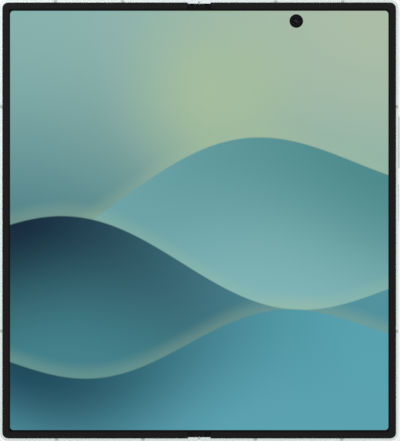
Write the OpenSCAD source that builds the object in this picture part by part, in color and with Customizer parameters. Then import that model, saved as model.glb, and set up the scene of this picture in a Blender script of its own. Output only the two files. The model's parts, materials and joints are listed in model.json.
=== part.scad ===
// Foldable smartphone: two thin halves joined by a geared fold hinge under a flexible display.
// X runs across the fold, Y along it and +Z out of the inner display. The phone lies open.
// z = 0 is the plane that the camera rings stand on. Every height below is counted from the
// back of the phone, and lift() raises it onto the camera rings.

/* [Body] */
// Width of the open phone without its keys
open_w = 143.2; // [141:0.1:146]
// Height of the phone, along the fold
body_h = 158.4; // [156:0.1:162]
// Thickness of one half, from its back glass to its bezel
half_t = 4.2; // [4.2:0.05:4.4]
// Radius of the four outer corners
corner_r = 2.9; // [2.7:0.1:3.2]
// Width of the metal edge outside the bezel
edge_w = 0.9; // [0.85:0.05:1]
// Width of the raised bezel
bezel_w = 2.25; // [2.1:0.05:2.4]
// Radius of the round along the metal edge
edge_round = 0.45; // [0.3:0.05:0.5]
// Thickness of the rear glass and of the cover glass
glass_t = 0.5; // [0.4:0.05:0.5]

/* [Fold] */
// Gap between the two bezels when the phone is shut
fold_gap = 0.5; // [0.4:0.05:0.6]
// How far the spine stands out past the halves when the phone is shut
spine_proud = 1.2; // [1.1:0.05:1.3]
// Thickness of the lips that close under the spine
lip_t = 0.475; // [0.4:0.025:0.5]
// Clearance between the spine and the halves
run_gap = 0.1; // [0.08:0.01:0.12]
// Wall of the hinge cover
spine_wall = 0.2; // [0.18:0.01:0.22]
// Width of the strip of display that bends on each side of the fold
bend_w = 6.6; // [6:0.1:7]
// Reach of the swing arms, from shaft to slot pin
arm_reach = 6; // [5.6:0.1:6.2]

/* [Hinge gears] */
// Gear module of the hinge gears
gear_m = 0.14; // [0.135:0.001:0.142]
// Play between the teeth
backlash = 0.03; // [0.02:0.005:0.04]
// Pressure angle of the teeth
pressure = 20; // [18:1:22]

/* [Cameras] */
// Width of the camera island
island_w = 20.5; // [19:0.5:21]
// Length of the camera island
island_l = 60; // [56:1:62]
// Height of the camera island above the rear glass
island_h = 1.8; // [1.4:0.1:2]
// Height of the camera rings above the island
ring_h = 0.4; // [0.2:0.1:0.5]
// Radius of the camera rings
ring_r = 7.6; // [7:0.1:8]
// Radius of the hole for the selfie camera
selfie_r = 2.45; // [2.2:0.05:2.6]

/* [Keys and ports] */
// Length of the volume key
volume_l = 18.6; // [17:0.1:20]
// Length of the power key
power_l = 13.4; // [12:0.1:14]
// Height of both keys through the frame
key_h = 1.8; // [1.6:0.1:1.9]
// How far the volume key stands out
volume_proud = 0.6; // [0.5:0.05:0.7]
// How far the power key stands out
power_proud = 0.35; // [0.35:0.05:0.5]
// Width of the USB-C opening
usb_w = 8.94; // [8.8:0.02:9]
// Height of the USB-C opening
usb_h = 2.56; // [2.5:0.02:2.6]
// Width of the SIM tray
sim_w = 12.6; // [12:0.1:13]
// Length of the SIM tray
sim_l = 24; // [22:0.5:26]

/* [Hidden] */
$fn = 64;

// Body
half_w = open_w / 2;
half_h = body_h / 2;
seam = 0.05;                       // half of the gap between the two frames
back_z = island_h + ring_h;        // the phone's back above the camera rings' plane
display_z = half_t - 0.2;          // face of the inner display, below the bezel
metal_z = half_t - 0.25;           // top of the metal edge
deck_z = display_z - 0.5;          // what the display lies on
plate_z = deck_z - 0.65;           // underside of the mid plates
wall_in = 1.9;                     // inner face of the frame wall, from the outside
display_in = edge_w + bezel_w - 0.95; // edge of the display panel, under the bezel
window_in = edge_w + bezel_w;      // inner edge of the bezel, from the outside
bezel_x = 4.1;                     // where the bezels end beside the fold
seam_round = 0.7;                  // rounded corner of each frame at the seam
end_wall = 1.25;                   // thickness of the frame across the ends of the hinge

// Fold: the two axes lie fold_x either side of the seam
spine_z = lip_t + run_gap;
fold_x = (half_t + fold_gap / 2 - spine_proud - spine_z) / 2;
fold_z = half_t + fold_gap / 2 - fold_x;
spine_r = fold_z - spine_z;
bore_r = spine_r - spine_wall;
hollow_r = spine_r + run_gap;
floor_z = spine_z + spine_wall;
spine_end = half_h - end_wall - 0.25;
block_l = 1.75;                    // length of a hinge end block
block_top = 2.5;                   // half width of its raised middle
block_round = 0.3;
groove = 0.3;                      // what the block steps back above the fold axes
rail_x = 5.2;                      // inner edge of the rail along the fold
rail_z = 1.0;
glass_x = 3;                       // where the back glasses start beside the fold
plate_x = 9.4;                     // where the mid plates start beside the fold
pin_r = 0.5;
pin_gap = 0.03;
pin_depth = 1.4;                   // how deep the pivot pins sit in the end blocks
pin_reach = 0.65;                  // and in the halves

// Gears: a toothed arm hub on each side and two idlers between them
arm_teeth = 10;
idler_teeth = 16;
arm_gear_r = gear_m * arm_teeth / 2;
idler_r = gear_m * idler_teeth / 2;
addendum = 0.85 * gear_m;
dedendum = 1.1 * gear_m;
arm_rise = 0.3;                    // height of the arm shafts above the idlers
idler_z = floor_z + idler_r + addendum + 0.135;
arm_z = idler_z + arm_rise;
arm_x = idler_r + sqrt(pow(arm_gear_r + idler_r, 2) - pow(arm_rise, 2));
mesh_a = asin(arm_rise / (arm_gear_r + idler_r));
sector_teeth = 4;
shaft_r = 0.3;
shaft_gap = 0.02;
hub_r = 0.52;
idler_pin_r = 0.35;
clip_r = 0.56;
tip_gap = 0.06;                    // space between tooth tips and their pocket
base_top = 2.95;                   // upper face of the hinge bases
arm_notch_z = 2.05;                // where the spine's wall ends under the arms
flex_notch_z = 2.6;                // and under the flex cables
slot_pin_r = 0.25;
slot_gap = 0.05;
swing_r = norm([arm_x - fold_x, arm_z - fold_z]); // the slot pins' arc, seen from the halves

// Hinge modules along the fold
module_y = [-50, 0, 50];
module_l = 14;
gear_y = [-5.5, -2.5];
arm_y = [-2.1, 2.1];
clip_y = [3.4, 5.4];
lug_y = 2.2;
lug_t = 1;
flex_y = [-25, 25];
flex_w = 8;
flex_t = 0.12;
flex_z = [1.1, 2.8, 1.4];          // in the spine, over its wall, in the half
bracket_x = [5.5, 12.6];
bracket_l = 10.8;
bracket_t = 0.4;
boss_x = 11.4;
boss_y = 4;
boss_r = 1.1;
thread_r = 0.39;
head_r = 0.78;
head_t = 0.32;
screw_l = 2.9;

// Wing plates
wing_in = 0.75;
wing_pivot_x = 9.5;
wing_z = 3.15;
wing_t = 0.25;
wing_pivot_z = wing_z + 0.05;
bead_r = 0.2;
wing_end = half_h - window_in - 0.9;

// Inside the halves
inner_wall_x = bracket_x[1] + 1.2; // outer face of the wall beside the batteries
rib_w = 1.2;
rib_y = [-72, -37, -13, 13, 37, 72];
cell_z = 0.95;                     // what the cells and speakers rest on
cell_top = plate_z - 0.1;
right_cell_y = [-50, 12];
left_cell_y = [-50, 46];
terrace_l = 2.6;                   // sealed end of a battery, with its tabs
board_z = 2.1;                     // lower face of the boards
board_t = 0.65;
can_z = 0.75;                      // lid of the shield cans
can_t = 0.15;
cans = [[16, 22, 17, 20], [35, 22, 13, 14], [16, 45, 12, 20]];
coil_r = [9.6, 22];
coil_pitch = 1.24;
coil_turn = 0.9;
speaker_x = 58;
motor = [24, -63];
ear_t = 0.7;                       // thickness of screw ears

// Cameras, keys, ports and breaks, by their centres
island_x = half_w - 3.2 - island_w / 2;
island_y = half_h - 4.7 - island_l / 2;
island_r = island_w / 2 - 1;
island_round = 0.6;
island_skirt = 1;                  // inset of the skirt that passes through the rear glass
flash_r = 2.4;
lens_pitch = 18.4;
selfie = [34.9, 71.65];
flash = [island_x - island_w / 2 - 4.8, island_y + lens_pitch];
cover_cam = [-half_w / 2, half_h - 7.4];
volume_y = 28.1;
power_y = 6.3;
key_z = 1.85;
key_fit = 0.08;
key_round = 0.25;
usb_x = half_w / 2;
port_z = 2.03;
sim_x = -half_w / 2;
sim_z = 1.7;
card = [8.9, 12.4];
card_cut = 1.7;
hole_w = 0.9;
break_w = 1.2;
break_depth = 1.2;
top_breaks = [27.5, 51.6];
bottom_breaks = [20.2, 51.2];
side_breaks = [-39.8, 40.9];
mint = [0.78, 0.85, 0.82];
cover_fit = 0.05;                  // gap round glass and inserts

// ---------- helpers ----------

// Raises the phone onto its camera rings
module lift() {
    translate([0, 0, back_z]) children();
}

// side = 1 draws as written, side = -1 mirrors to the left half
module on_side(side) {
    mirror([side < 0 ? 1 : 0, 0, 0]) children();
}

// Extrudes an outline drawn in X and Z along Y
module along_y(y0, y1) {
    translate([0, y1, 0]) rotate([90, 0, 0]) linear_extrude(y1 - y0) children();
}

// A box given by its low and high corners
module block(low, high) {
    translate(low) cube(high - low);
}

// r stays under half of the shorter side
module rounded_rect(size, r) {
    square([size.x - 2 * r, size.y], center = true);
    square([size.x, size.y - 2 * r], center = true);
    for (x = [-1, 1], y = [-1, 1])
        translate([x * (size.x / 2 - r), y * (size.y / 2 - r)]) circle(r);
}

// Outline of the right half seen from the front: square at the fold, round outside
module half_outline(x0, inset, r, y_inset = undef) {
    w = half_w - inset - x0;
    h = 2 * (half_h - (is_undef(y_inset) ? inset : y_inset));
    translate([x0 + w / 2, 0]) {
        intersection() {
            translate([-w / 2, 0]) rounded_rect([2 * w, h], r);
            square([w, h], center = true);
        }
    }
}

// Carries a wall profile round the three outer sides of the right half.
// The profile is drawn with its outer face on x = 0 and its height along y.
module round_half(x0) {
    straight = half_h - corner_r;
    translate([half_w, 0, 0]) along_y(-straight, straight) children();
    for (flip = [0, 1]) mirror([0, flip, 0]) {
        translate([half_w - corner_r, straight, 0])
            rotate_extrude(angle = 90) translate([corner_r, 0]) children();
        translate([x0, half_h, 0]) rotate([90, 0, 90])
            linear_extrude(half_w - corner_r - x0) children();
    }
}

// Wall profile with both outer edges rounded
module wall_profile(depth, top) {
    r = edge_round;
    translate([-depth, 0]) square([depth - r, top]);
    translate([-r - 0.01, r]) square([r + 0.01, top - 2 * r]);
    for (z = [r, top - r]) translate([-r, z]) circle(r);
}

// The frame's wall: it carries the bezel on a step and the glass in a rebate
module frame_profile() {
    difference() {
        wall_profile(wall_in, metal_z);
        translate([-wall_in - 1, deck_z]) square([wall_in + 1 - edge_w, half_t]);
        translate([-wall_in - 1, -1]) square([wall_in + 1 - edge_w + 0.1, 1 + glass_t]);
    }
}

// Disc round the right fold axis, in X and Z
module fold_disc(r) {
    translate([fold_x, fold_z]) circle(r);
}

// Everything in X and Z that can turn inside the halves' hollow
module spine_shape(r) {
    for (side = [-1, 1]) on_side(side) fold_disc(r);
    translate([-fold_x, fold_z - r]) square([2 * fold_x, 2 * r]);
}

// ---------- frames ----------

// The rail along the fold: a thin lip that closes under the spine, then the glass ledge
module rail_profile() {
    difference() {
        union() {
            translate([seam, 0]) square([glass_x - seam, rail_z]);
            translate([glass_x - 0.01, glass_t]) square([rail_x - glass_x, rail_z - glass_t]);
        }
        fold_disc(hollow_r);
        translate([-1, lip_t]) square([1 + fold_x, half_t]);
    }
}

// What the frame's ends lose so that they pass each other as the phone folds
module end_relief() {
    difference() {
        translate([-1, fold_z]) square([1 + fold_x, half_t]);
        fold_disc(fold_x - seam);
    }
}

// The frame's walls across the ends of the hinge
module hinge_end_walls() {
    for (flip = [0, 1]) mirror([0, flip, 0]) {
        difference() {
            translate([seam, half_h, 0]) rotate([90, 0, 90])
                linear_extrude(bezel_x - seam + 0.2) wall_profile(end_wall, metal_z);
            along_y(half_h - end_wall - 1, half_h + 1) end_relief();
            // steps for the bezel and for the back glass
            block([bezel_x, half_h - 2, deck_z], [bezel_x + 1, half_h - edge_w, half_t]);
            block([glass_x, half_h - 2, -1], [bezel_x + 1, half_h - edge_w + 0.1, glass_t]);
            // the round upright edge beside the seam
            translate([seam, half_h - seam_round, -1]) difference() {
                translate([-1, 0, 0]) cube([1 + seam_round, 1, half_t + 2]);
                translate([seam_round, 0, -1]) cylinder(r = seam_round, h = half_t + 4);
            }
            // blind bore for the pivot pin
            along_y(half_h - end_wall - 0.1, half_h - end_wall + pin_reach + 0.1)
                fold_disc(pin_r + pin_gap);
        }
    }
}

// One half's frame without openings, drawn for the right
module frame_blank() {
    inner_x = inner_wall_x - 0.9;
    difference() {
        union() {
            round_half(bezel_x) frame_profile();
            along_y(-half_h + end_wall, half_h - end_wall) rail_profile();
            // wall beside the battery, and the ribs that tie it to the rail
            block([inner_x, -half_h + wall_in, glass_t], [inner_x + 0.7, half_h - wall_in, plate_z]);
            for (y = rib_y) block([rail_x - 0.1, y - rib_w / 2, glass_t],
                [inner_x + 0.1, y + rib_w / 2, rail_z]);
        }
        // inner walls stay clear of the spine's ends
        along_y(-spine_end - 0.2, spine_end + 0.2) fold_disc(hollow_r);
    }
    hinge_end_walls();
}

// Slots that the antenna breaks fill
module break_slots() {
    for (x = top_breaks)
        block([x - break_w / 2, half_h - break_depth, -1], [x + break_w / 2, half_h + 1, half_t]);
    for (x = bottom_breaks)
        block([x - break_w / 2, -half_h - 1, -1], [x + break_w / 2, -half_h + break_depth, half_t]);
    for (y = side_breaks)
        block([half_w - break_depth, y - break_w / 2, -1], [half_w + 1, y + break_w / 2, half_t]);
}

// The breaks themselves: the outer part of the wall, in plastic
module breaks() {
    intersection() {
        round_half(bezel_x) frame_profile();
        break_slots();
    }
}

module stadium(w, h) {
    square([w - h, h], center = true);
    for (s = [-1, 1]) translate([s * (w - h) / 2, 0]) circle(h / 2);
}

// A round-ended opening through the right wall, along X
module side_slot(y, z, l, h, x0, x1) {
    translate([x0, y, z]) rotate([90, 0, 90]) linear_extrude(x1 - x0) stadium(l, h);
}

// A round-ended opening through the top or bottom wall, along Y
module end_slot(x, z, w, h, y0, y1) {
    along_y(y0, y1) translate([x, z]) stadium(w, h);
}

module speaker_slots(x, y0, y1) {
    for (i = [-2.5:2.5]) end_slot(x + i * 2.2, port_z, 1.6, 1, y0, y1);
}

// A small round hole through the top or bottom wall, for a microphone or an eject pin
module pin_hole(x, y, z) {
    translate([x, y - 3, z]) rotate([-90, 0, 0]) cylinder(d = hole_w, h = 6);
}

module key_slot(y, l) {
    side_slot(y, key_z, l + 2 * key_fit, key_h + 2 * key_fit, half_w - 3, half_w + 1);
}

module right_frame() {
    color(mint) lift() difference() {
        frame_blank();
        break_slots();
        key_slot(volume_y, volume_l);
        key_slot(power_y, power_l);
        end_slot(usb_x, port_z, usb_w, usb_h, -half_h - 1, -half_h + 3);
        speaker_slots(speaker_x, -half_h - 1, -half_h + 3);
        pin_hole(usb_x - 10.8, -half_h, port_z);
        pin_hole(speaker_x + 4, half_h, port_z);
    }
}

module left_frame() {
    color(mint) lift() difference() {
        on_side(-1) frame_blank();
        on_side(-1) break_slots();
        end_slot(sim_x, sim_z, sim_w + 2.1, 1.5, -half_h - 1, -half_h + 3);
        pin_hole(sim_x + 10.6, -half_h, sim_z);
        speaker_slots(sim_x, half_h - 3, half_h + 1);
    }
}

module right_antenna_breaks() {
    color([0.45, 0.5, 0.49]) lift() breaks();
}

module left_antenna_breaks() {
    color([0.45, 0.5, 0.49]) lift() on_side(-1) breaks();
}

// ---------- display side ----------

// The plate under the display, with the groove that holds the wing's bead
module mid_plate_blank() {
    difference() {
        translate([0, 0, plate_z]) linear_extrude(deck_z - plate_z)
            half_outline(plate_x, wall_in, corner_r - wall_in);
        along_y(-wing_end - 0.2, wing_end + 0.2)
            translate([wing_pivot_x, wing_pivot_z]) circle(bead_r + 0.05);
        // slots that leave room for cells and chips
        for (y = [-42, -6, 30])
            translate([half_w / 2 + 2, y, plate_z - 1]) linear_extrude(3)
                rounded_rect([30, 6], 2.5);
        for (y = module_y, s = [-1, 1])
            translate([boss_x, y + s * boss_y, plate_z - 1]) cylinder(r = thread_r + 0.01, h = 3);
    }
}

module right_mid_plate() {
    color("dimgray") lift() difference() {
        mid_plate_blank();
        translate([selfie.x, selfie.y, 0]) cylinder(r = selfie_r + 0.15, h = half_t);
        block([usb_x - 5, -half_h, 0], [usb_x + 5, -half_h + 9.5, half_t]);
    }
}

module left_mid_plate() {
    color("dimgray") lift() on_side(-1) mid_plate_blank();
}

// A raised rim round the display that laps over its edge
module bezel_blank() {
    difference() {
        translate([0, 0, deck_z]) linear_extrude(half_t - deck_z)
            half_outline(bezel_x, edge_w, corner_r - edge_w + 0.2);
        translate([0, 0, deck_z - 1]) linear_extrude(1 + display_z - deck_z)
            half_outline(0, display_in - 0.05, 0.9);
        linear_extrude(half_t + 1) half_outline(0, window_in, 0.8);
        // round corners where the rims end beside the fold
        for (s = [-1, 1]) translate([bezel_x, s * (half_h - window_in), deck_z - 1])
            difference() {
                translate([-0.5, -0.5, 0]) cube([1, 1, half_t]);
                translate([0.5, s * 0.5, -1]) cylinder(r = 0.5, h = half_t + 2);
                translate([-1, s > 0 ? 0.5 : -1.5, -1]) cube([2, 1, half_t + 2]);
                translate([0.5, -1, -1]) cube([1, 2, half_t + 2]);
            }
    }
}

module right_bezel() {
    color([0.13, 0.13, 0.14]) lift() bezel_blank();
}

module left_bezel() {
    color([0.13, 0.13, 0.14]) lift() on_side(-1) bezel_blank();
}

module display_panel() {
    translate([0, 0, deck_z]) linear_extrude(display_z - deck_z)
        half_outline(bend_w, display_in, 0.9);
}

// The strip that bends: it is narrower where the hinge end blocks stand
module fold_strip() {
    end_y = spine_end - block_l - 0.04;
    translate([0, 0, deck_z]) linear_extrude(display_z - deck_z) {
        translate([0, -end_y]) square([bezel_x + 0.05, 2 * end_y]);
        translate([bezel_x + 0.05, -half_h + display_in])
            square([bend_w - bezel_x - 0.05, 2 * (half_h - display_in)]);
    }
}

module inner_display_right() {
    color([0.45, 0.66, 0.66]) lift() difference() {
        display_panel();
        translate([selfie.x, selfie.y, 0]) cylinder(r = selfie_r, h = half_t);
    }
}

module inner_display_left() {
    color([0.1, 0.22, 0.28]) lift() on_side(-1) display_panel();
}

module display_fold_right() {
    color([0.3, 0.5, 0.5]) lift() fold_strip();
}

module display_fold_left() {
    color([0.15, 0.28, 0.33]) lift() on_side(-1) fold_strip();
}

module selfie_camera() {
    color([0.05, 0.05, 0.06]) lift() translate([selfie.x, selfie.y, 0]) rotate_extrude()
        polygon([[0, 1.1], [3.1, 1.1], [3.1, plate_z - 0.1], [selfie_r - 0.05, plate_z - 0.1],
            [selfie_r - 0.05, display_z - 0.03], [1.6, display_z - 0.03],
            [1.2, display_z - 0.25], [0, display_z - 0.12]]);
}

// ---------- backs ----------

module back_pane() {
    linear_extrude(glass_t)
        half_outline(glass_x + cover_fit, edge_w - 0.1 + cover_fit, corner_r - edge_w);
}

module rear_glass() {
    color([0.62, 0.74, 0.71]) lift() difference() {
        back_pane();
        translate([island_x, island_y, -1]) linear_extrude(3)
            rounded_rect([island_w, island_l] - 2 * [island_skirt, island_skirt],
                island_r - island_skirt);
        translate([flash.x, flash.y, -1]) cylinder(r = flash_r + cover_fit, h = 3);
    }
}

module cover_glass() {
    color([0.06, 0.06, 0.07]) lift() on_side(-1) back_pane();
}

module cover_display() {
    color([0.1, 0.1, 0.12]) lift() difference() {
        on_side(-1) translate([0, 0, glass_t]) linear_extrude(0.4)
            half_outline(bracket_x[1] + 1.4, 3.4, 1);
        translate([cover_cam.x, cover_cam.y, 0]) cylinder(r = 2, h = 3);
    }
}

module cover_camera() {
    color([0.05, 0.05, 0.06]) lift() translate([cover_cam.x, cover_cam.y, glass_t])
        rotate_extrude() polygon([[0, 0.15], [0.9, 0.05], [1.4, 0], [1.9, 0], [1.9, 0.6],
            [2.8, 0.6], [2.8, 2.3], [0, 2.3]]);
}

// Rim profile with its upper outer edge rounded, outer face on x = 0
module rim_profile(depth, height, r) {
    translate([-depth, 0]) square([depth, height - r]);
    translate([-depth, height - r - 0.01]) square([depth - r, r + 0.01]);
    translate([-r, height - r]) intersection() {
        circle(r);
        translate([0, -0.01]) square(r + 0.01);
    }
}

// Carries a rim profile round a rounded rectangle. The profile is drawn with its outer face
// on x = 0 and its height along y.
module round_rim(size, r) {
    half = size / 2 - [r, r];
    for (q = [0:3]) rotate(90 * q) {
        side = q % 2 == 0 ? half : [half.y, half.x];
        translate(side) rotate_extrude(angle = 90) translate([r, 0]) children();
        translate([side.x + r, 0, 0]) along_y(-side.y, side.y) children();
    }
}

// The island: a rounded rim swept round a plate, bores for three cameras and a skirt that
// passes through the rear glass
module camera_island() {
    size = [island_w, island_l];
    inner = size - 2 * [island_skirt, island_skirt];
    color([0.66, 0.76, 0.73]) lift() difference() {
        translate([island_x, island_y, 0]) {
            translate([0, 0, -island_h]) linear_extrude(island_h + glass_t - 0.05)
                rounded_rect(inner - 2 * [cover_fit, cover_fit], island_r - island_skirt - cover_fit);
            mirror([0, 0, 1]) round_rim(size, island_r)
                rim_profile(island_skirt + 0.2, island_h, island_round);
        }
        for (i = [-1:1]) translate([island_x, island_y + i * lens_pitch, -island_h - 1])
            cylinder(r = ring_r - 1, h = island_h + 3);
    }
}

module camera_rings() {
    color(mint) lift() for (i = [-1:1])
        translate([island_x, island_y + i * lens_pitch, -back_z]) rotate_extrude()
            polygon([[ring_r - 1.3, 0.1], [ring_r - 1.2, 0], [ring_r - 0.25, 0],
                [ring_r, 0.25], [ring_r, ring_h], [ring_r - 1, ring_h],
                [ring_r - 1, ring_h + 1], [ring_r - 1.3, ring_h + 1]]);
}

module camera_lenses() {
    color([0.04, 0.04, 0.06]) lift() for (i = [-1:1])
        translate([island_x, island_y + i * lens_pitch, -back_z + 0.1])
            cylinder(r = ring_r - 1.32, h = 0.5);
}

// Barrel, holder and sensor board of each camera
module camera_modules() {
    color([0.12, 0.12, 0.13]) lift() for (i = [-1:1])
        translate([island_x, island_y + i * lens_pitch, -back_z + 0.65]) {
            rotate_extrude() polygon([[0, 0.9], [1.6, 0.25], [2.2, 0.05], [5.4, 0.05],
                [5.4, back_z], [0, back_z]]);
            translate([-6, -6, back_z - 0.15]) cube([12, 12, 1.6]);
            translate([-7, -7, back_z + 1.4]) cube([14, 14, 0.5]);
        }
}

module flash_lens() {
    color([0.95, 0.93, 0.85]) lift() translate([flash.x, flash.y, 0.02]) rotate_extrude()
        polygon([[0, 0.1], [1.8, 0.1], [1.9, 0], [flash_r, 0], [flash_r, 0.9], [0, 0.9]]);
}

// ---------- inside the halves ----------

// A plate with rounded corners between two heights, given by its low corner and its size
module slab(low, size, r, z0, z1) {
    translate([low.x + size.x / 2, low.y + size.y / 2, z0])
        linear_extrude(z1 - z0) rounded_rect(size, r);
}

// Screw holes along Z
module screw_holes(points, r) {
    for (p = points) translate([p.x, p.y, -1]) cylinder(r = r, h = half_t + 2);
}

// A pouch cell with a sealed terrace and two tabs at its upper end
module battery(y, x1) {
    x0 = inner_wall_x + 0.2;
    slab([x0, y[0]], [x1 - x0, y[1] - y[0] - terrace_l], 1.2, cell_z, cell_top);
    slab([x0 + 1, y[1] - terrace_l - 2], [x1 - x0 - 2, terrace_l + 1.4], 0.6, cell_z, cell_z + 0.9);
    for (x = [x0 + 8, x0 + 15]) slab([x, y[1] - 1], [4, 1], 0.3, cell_z + 0.5, cell_z + 0.7);
}

module right_battery() {
    color([0.2, 0.2, 0.22]) lift() battery(right_cell_y, half_w - 3.6);
}

module left_battery() {
    color([0.2, 0.2, 0.22]) lift() on_side(-1) battery(left_cell_y, half_w - 3);
}

// A board with two plug sockets on its lower face
module board(low, size, z, sockets) {
    slab(low, size, 0.8, z, z + board_t);
    for (p = sockets) difference() {
        slab(p, [7, 2.4], 0.3, z - 0.7, z + 0.1);
        slab(p + [0.6, 0.7], [5.8, 1], 0.2, z - 1, z - 0.3);
    }
}

module main_board() {
    x0 = inner_wall_x + 0.2;
    color([0.05, 0.3, 0.2]) lift() difference() {
        board([x0, 16], [island_x - 7.4 - x0, 60], board_z, [[20, 17.5], [36, 17.5], [38, 40]]);
        screw_holes([selfie], 3.3);
        screw_holes([for (x = [16.5, 48], y = [18.5, 73.5]) [x, y]], 0.7);
    }
}

// Pressed cans: a foot on the board, a lid with rounded corners and vents
module shield_cans() {
    color("silver") lift() for (c = cans) {
        low = [c[0], c[1]];
        size = [c[2], c[3]];
        difference() {
            union() {
                slab(low, size, 1, board_z - can_t, board_z);
                slab(low + [0.4, 0.4], size - [0.8, 0.8], 0.8, can_z, board_z - can_t + 0.01);
            }
            slab(low + [0.4 + can_t, 0.4 + can_t], size - 2 * [0.4 + can_t, 0.4 + can_t],
                0.6, can_z + can_t, half_t);
            screw_holes([for (i = [-1:1], j = [-1:1]) low + size / 2 + [i, j] * 2.4], 0.5);
        }
    }
}

module left_board() {
    x1 = -inner_wall_x - 0.2;
    color([0.05, 0.3, 0.2]) lift() difference() {
        board([-half_w + 3, 49], [half_w - 3 + x1, 15], board_z - 0.1, [[-60, 51], [-30, 60]]);
        screw_holes([[-66, 51], [-18, 51]], 0.7);
    }
}

// Turns of flat wire on a thin film
module charging_coil() {
    color([0.72, 0.45, 0.2]) lift() translate([half_w / 2 + 5, -19, glass_t + 0.05])
        rotate_extrude() {
            translate([coil_r[0], 0]) square([coil_r[1] - coil_r[0], 0.1]);
            for (r = [coil_r[0] + 0.2:coil_pitch:coil_r[1] - coil_turn])
                translate([r, 0]) square([coil_turn, 0.35]);
        }
}

// A drawn shell with a soldering ear on each side
module usb_shell() {
    out = 0.15;
    color("silver") lift() difference() {
        union() {
            end_slot(usb_x, port_z, usb_w + 2 * out, usb_h + 2 * out, -half_h + 1.95, -half_h + 9.2);
            slab([usb_x - 7, -half_h + 5.5], [14, 2.4], 0.6, port_z - 0.2, port_z + 0.2);
        }
        end_slot(usb_x, port_z, usb_w, usb_h, -half_h, -half_h + 9);
        screw_holes([for (s = [-1, 1]) [usb_x + s * 5.9, -half_h + 6.7]], 0.5);
    }
}

module usb_tongue() {
    color([0.15, 0.15, 0.16]) lift() {
        block([usb_x - 3.34, -half_h + 2.3, port_z - 0.35],
            [usb_x + 3.34, -half_h + 9, port_z + 0.35]);
        end_slot(usb_x, port_z, usb_w - 0.1, usb_h - 0.1, -half_h + 7.6, -half_h + 9);
    }
}

module bottom_speaker() {
    w = half_w - 3 - 48;
    color([0.12, 0.12, 0.13]) lift() difference() {
        union() {
            slab([48, -half_h + 2], [w, 19], 1, cell_z, cell_top);
            slab([48, -60], [w, 5], 1, cell_z, cell_z + ear_t);
        }
        speaker_slots(speaker_x, -half_h, -half_h + 5);
        screw_holes([for (s = [0, 1]) [50 + s * (w - 4), -56.5]], 0.7);
        // relief over the membrane
        slab([51, -73], [w - 6, 11], 3, cell_top - 0.3, half_t);
    }
}

module top_speaker() {
    color([0.12, 0.12, 0.13]) lift() difference() {
        union() {
            slab([sim_x - 9, 67], [18, half_h - 2 - 67], 1, cell_z, cell_top);
            slab([sim_x - 12.5, 68], [25, 4], 1, cell_z, cell_z + ear_t);
        }
        speaker_slots(sim_x, half_h - 5, half_h);
        screw_holes([cover_cam], 3);
        screw_holes([for (s = [-1, 1]) [sim_x + s * 11, 70]], 0.7);
    }
}

module vibration_motor() {
    color("silver") lift() difference() {
        union() {
            slab(motor - [5, 4.5], [10, 9], 1, cell_z, cell_top);
            slab(motor - [7.5, 1.5], [15, 3], 1, cell_z, cell_z + ear_t);
        }
        screw_holes([for (s = [-1, 1]) motor + [s * 6.3, 0]], 0.6);
    }
}

// Dome switches on their flex, behind the keys
module key_switches() {
    x1 = half_w - wall_in - 0.85;
    color([0.7, 0.6, 0.35]) lift() {
        block([x1 - 0.5, power_y - 8, key_z - 0.8], [x1 - 0.35, volume_y - 11.6, key_z + 0.8]);
        for (y = [power_y, volume_y - 12.6]) translate([x1 - 0.35, y, key_z]) rotate([0, 90, 0])
            cylinder(r = 0.8, h = 0.35);
    }
}

module magnets(ys) {
    for (y = ys) block([half_w - 2.9, y - 6, cell_z], [half_w - 2.1, y + 6, cell_top]);
}

module right_magnets() {
    color("gray") lift() magnets([-40, -20]);
}

module left_magnets() {
    color("gray") lift() on_side(-1) magnets([-40, -20]);
}

// ---------- hinge, parts in the halves ----------

// Centre line of the slot: the slot pin's arc as the half turns
module slot_outline() {
    start = atan2(arm_z - fold_z, arm_x - fold_x);
    translate([fold_x + arm_reach, fold_z]) {
        intersection() {
            difference() {
                circle(swing_r + slot_pin_r + slot_gap);
                circle(swing_r - slot_pin_r - slot_gap);
            }
            polygon([[0, 0], 5 * [cos(start), sin(start)], 7 * [cos(start - 45), sin(start - 45)],
                5 * [cos(start - 90), sin(start - 90)]]);
        }
        for (a = [start, start - 90])
            translate(swing_r * [cos(a), sin(a)]) circle(slot_pin_r + slot_gap);
    }
}

// Floor, two slotted lugs and two screw bosses of one bracket
module bracket_blank() {
    x0 = bracket_x[0];
    x1 = bracket_x[1];
    lug_x = fold_x + arm_reach + swing_r + slot_pin_r + 0.9;
    difference() {
        union() {
            block([x0, -bracket_l / 2, glass_t + 0.05],
                [x1, bracket_l / 2, glass_t + 0.05 + bracket_t]);
            for (s = [-1, 1]) {
                along_y(s * (lug_y + lug_t / 2) - lug_t / 2, s * (lug_y + lug_t / 2) + lug_t / 2)
                    difference() {
                        translate([x0 + 0.1, glass_t + 0.4])
                            square([lug_x - x0 - 0.1, plate_z - glass_t - 0.45]);
                        translate([x0, plate_z - 0.6]) rotate(45) square(1.1, center = true);
                    }
                translate([boss_x, s * boss_y, glass_t + 0.05])
                    cylinder(r = boss_r, h = plate_z - glass_t - 0.05);
            }
        }
        for (s = [-1, 1]) {
            along_y(-lug_y - lug_t - 0.5, lug_y + lug_t + 0.5) slot_outline();
            translate([boss_x, s * boss_y, 0]) {
                cylinder(r = thread_r + 0.03, h = half_t);
                cylinder(r = head_r + 0.07, h = glass_t + head_t + 0.08);
            }
        }
    }
}

module hinge_brackets() {
    for (y = module_y) translate([0, y, 0]) bracket_blank();
}

module right_hinge_brackets() {
    color("silver") lift() hinge_brackets();
}

module left_hinge_brackets() {
    color("silver") lift() on_side(-1) hinge_brackets();
}

module bracket_screws() {
    for (y = module_y, s = [-1, 1]) translate([boss_x, y + s * boss_y, glass_t + 0.06])
        rotate_extrude() polygon([[0, 0.14], [0.3, 0], [head_r, 0], [head_r, head_t],
            [thread_r, head_t], [thread_r, screw_l], [0, screw_l]]);
}

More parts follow.
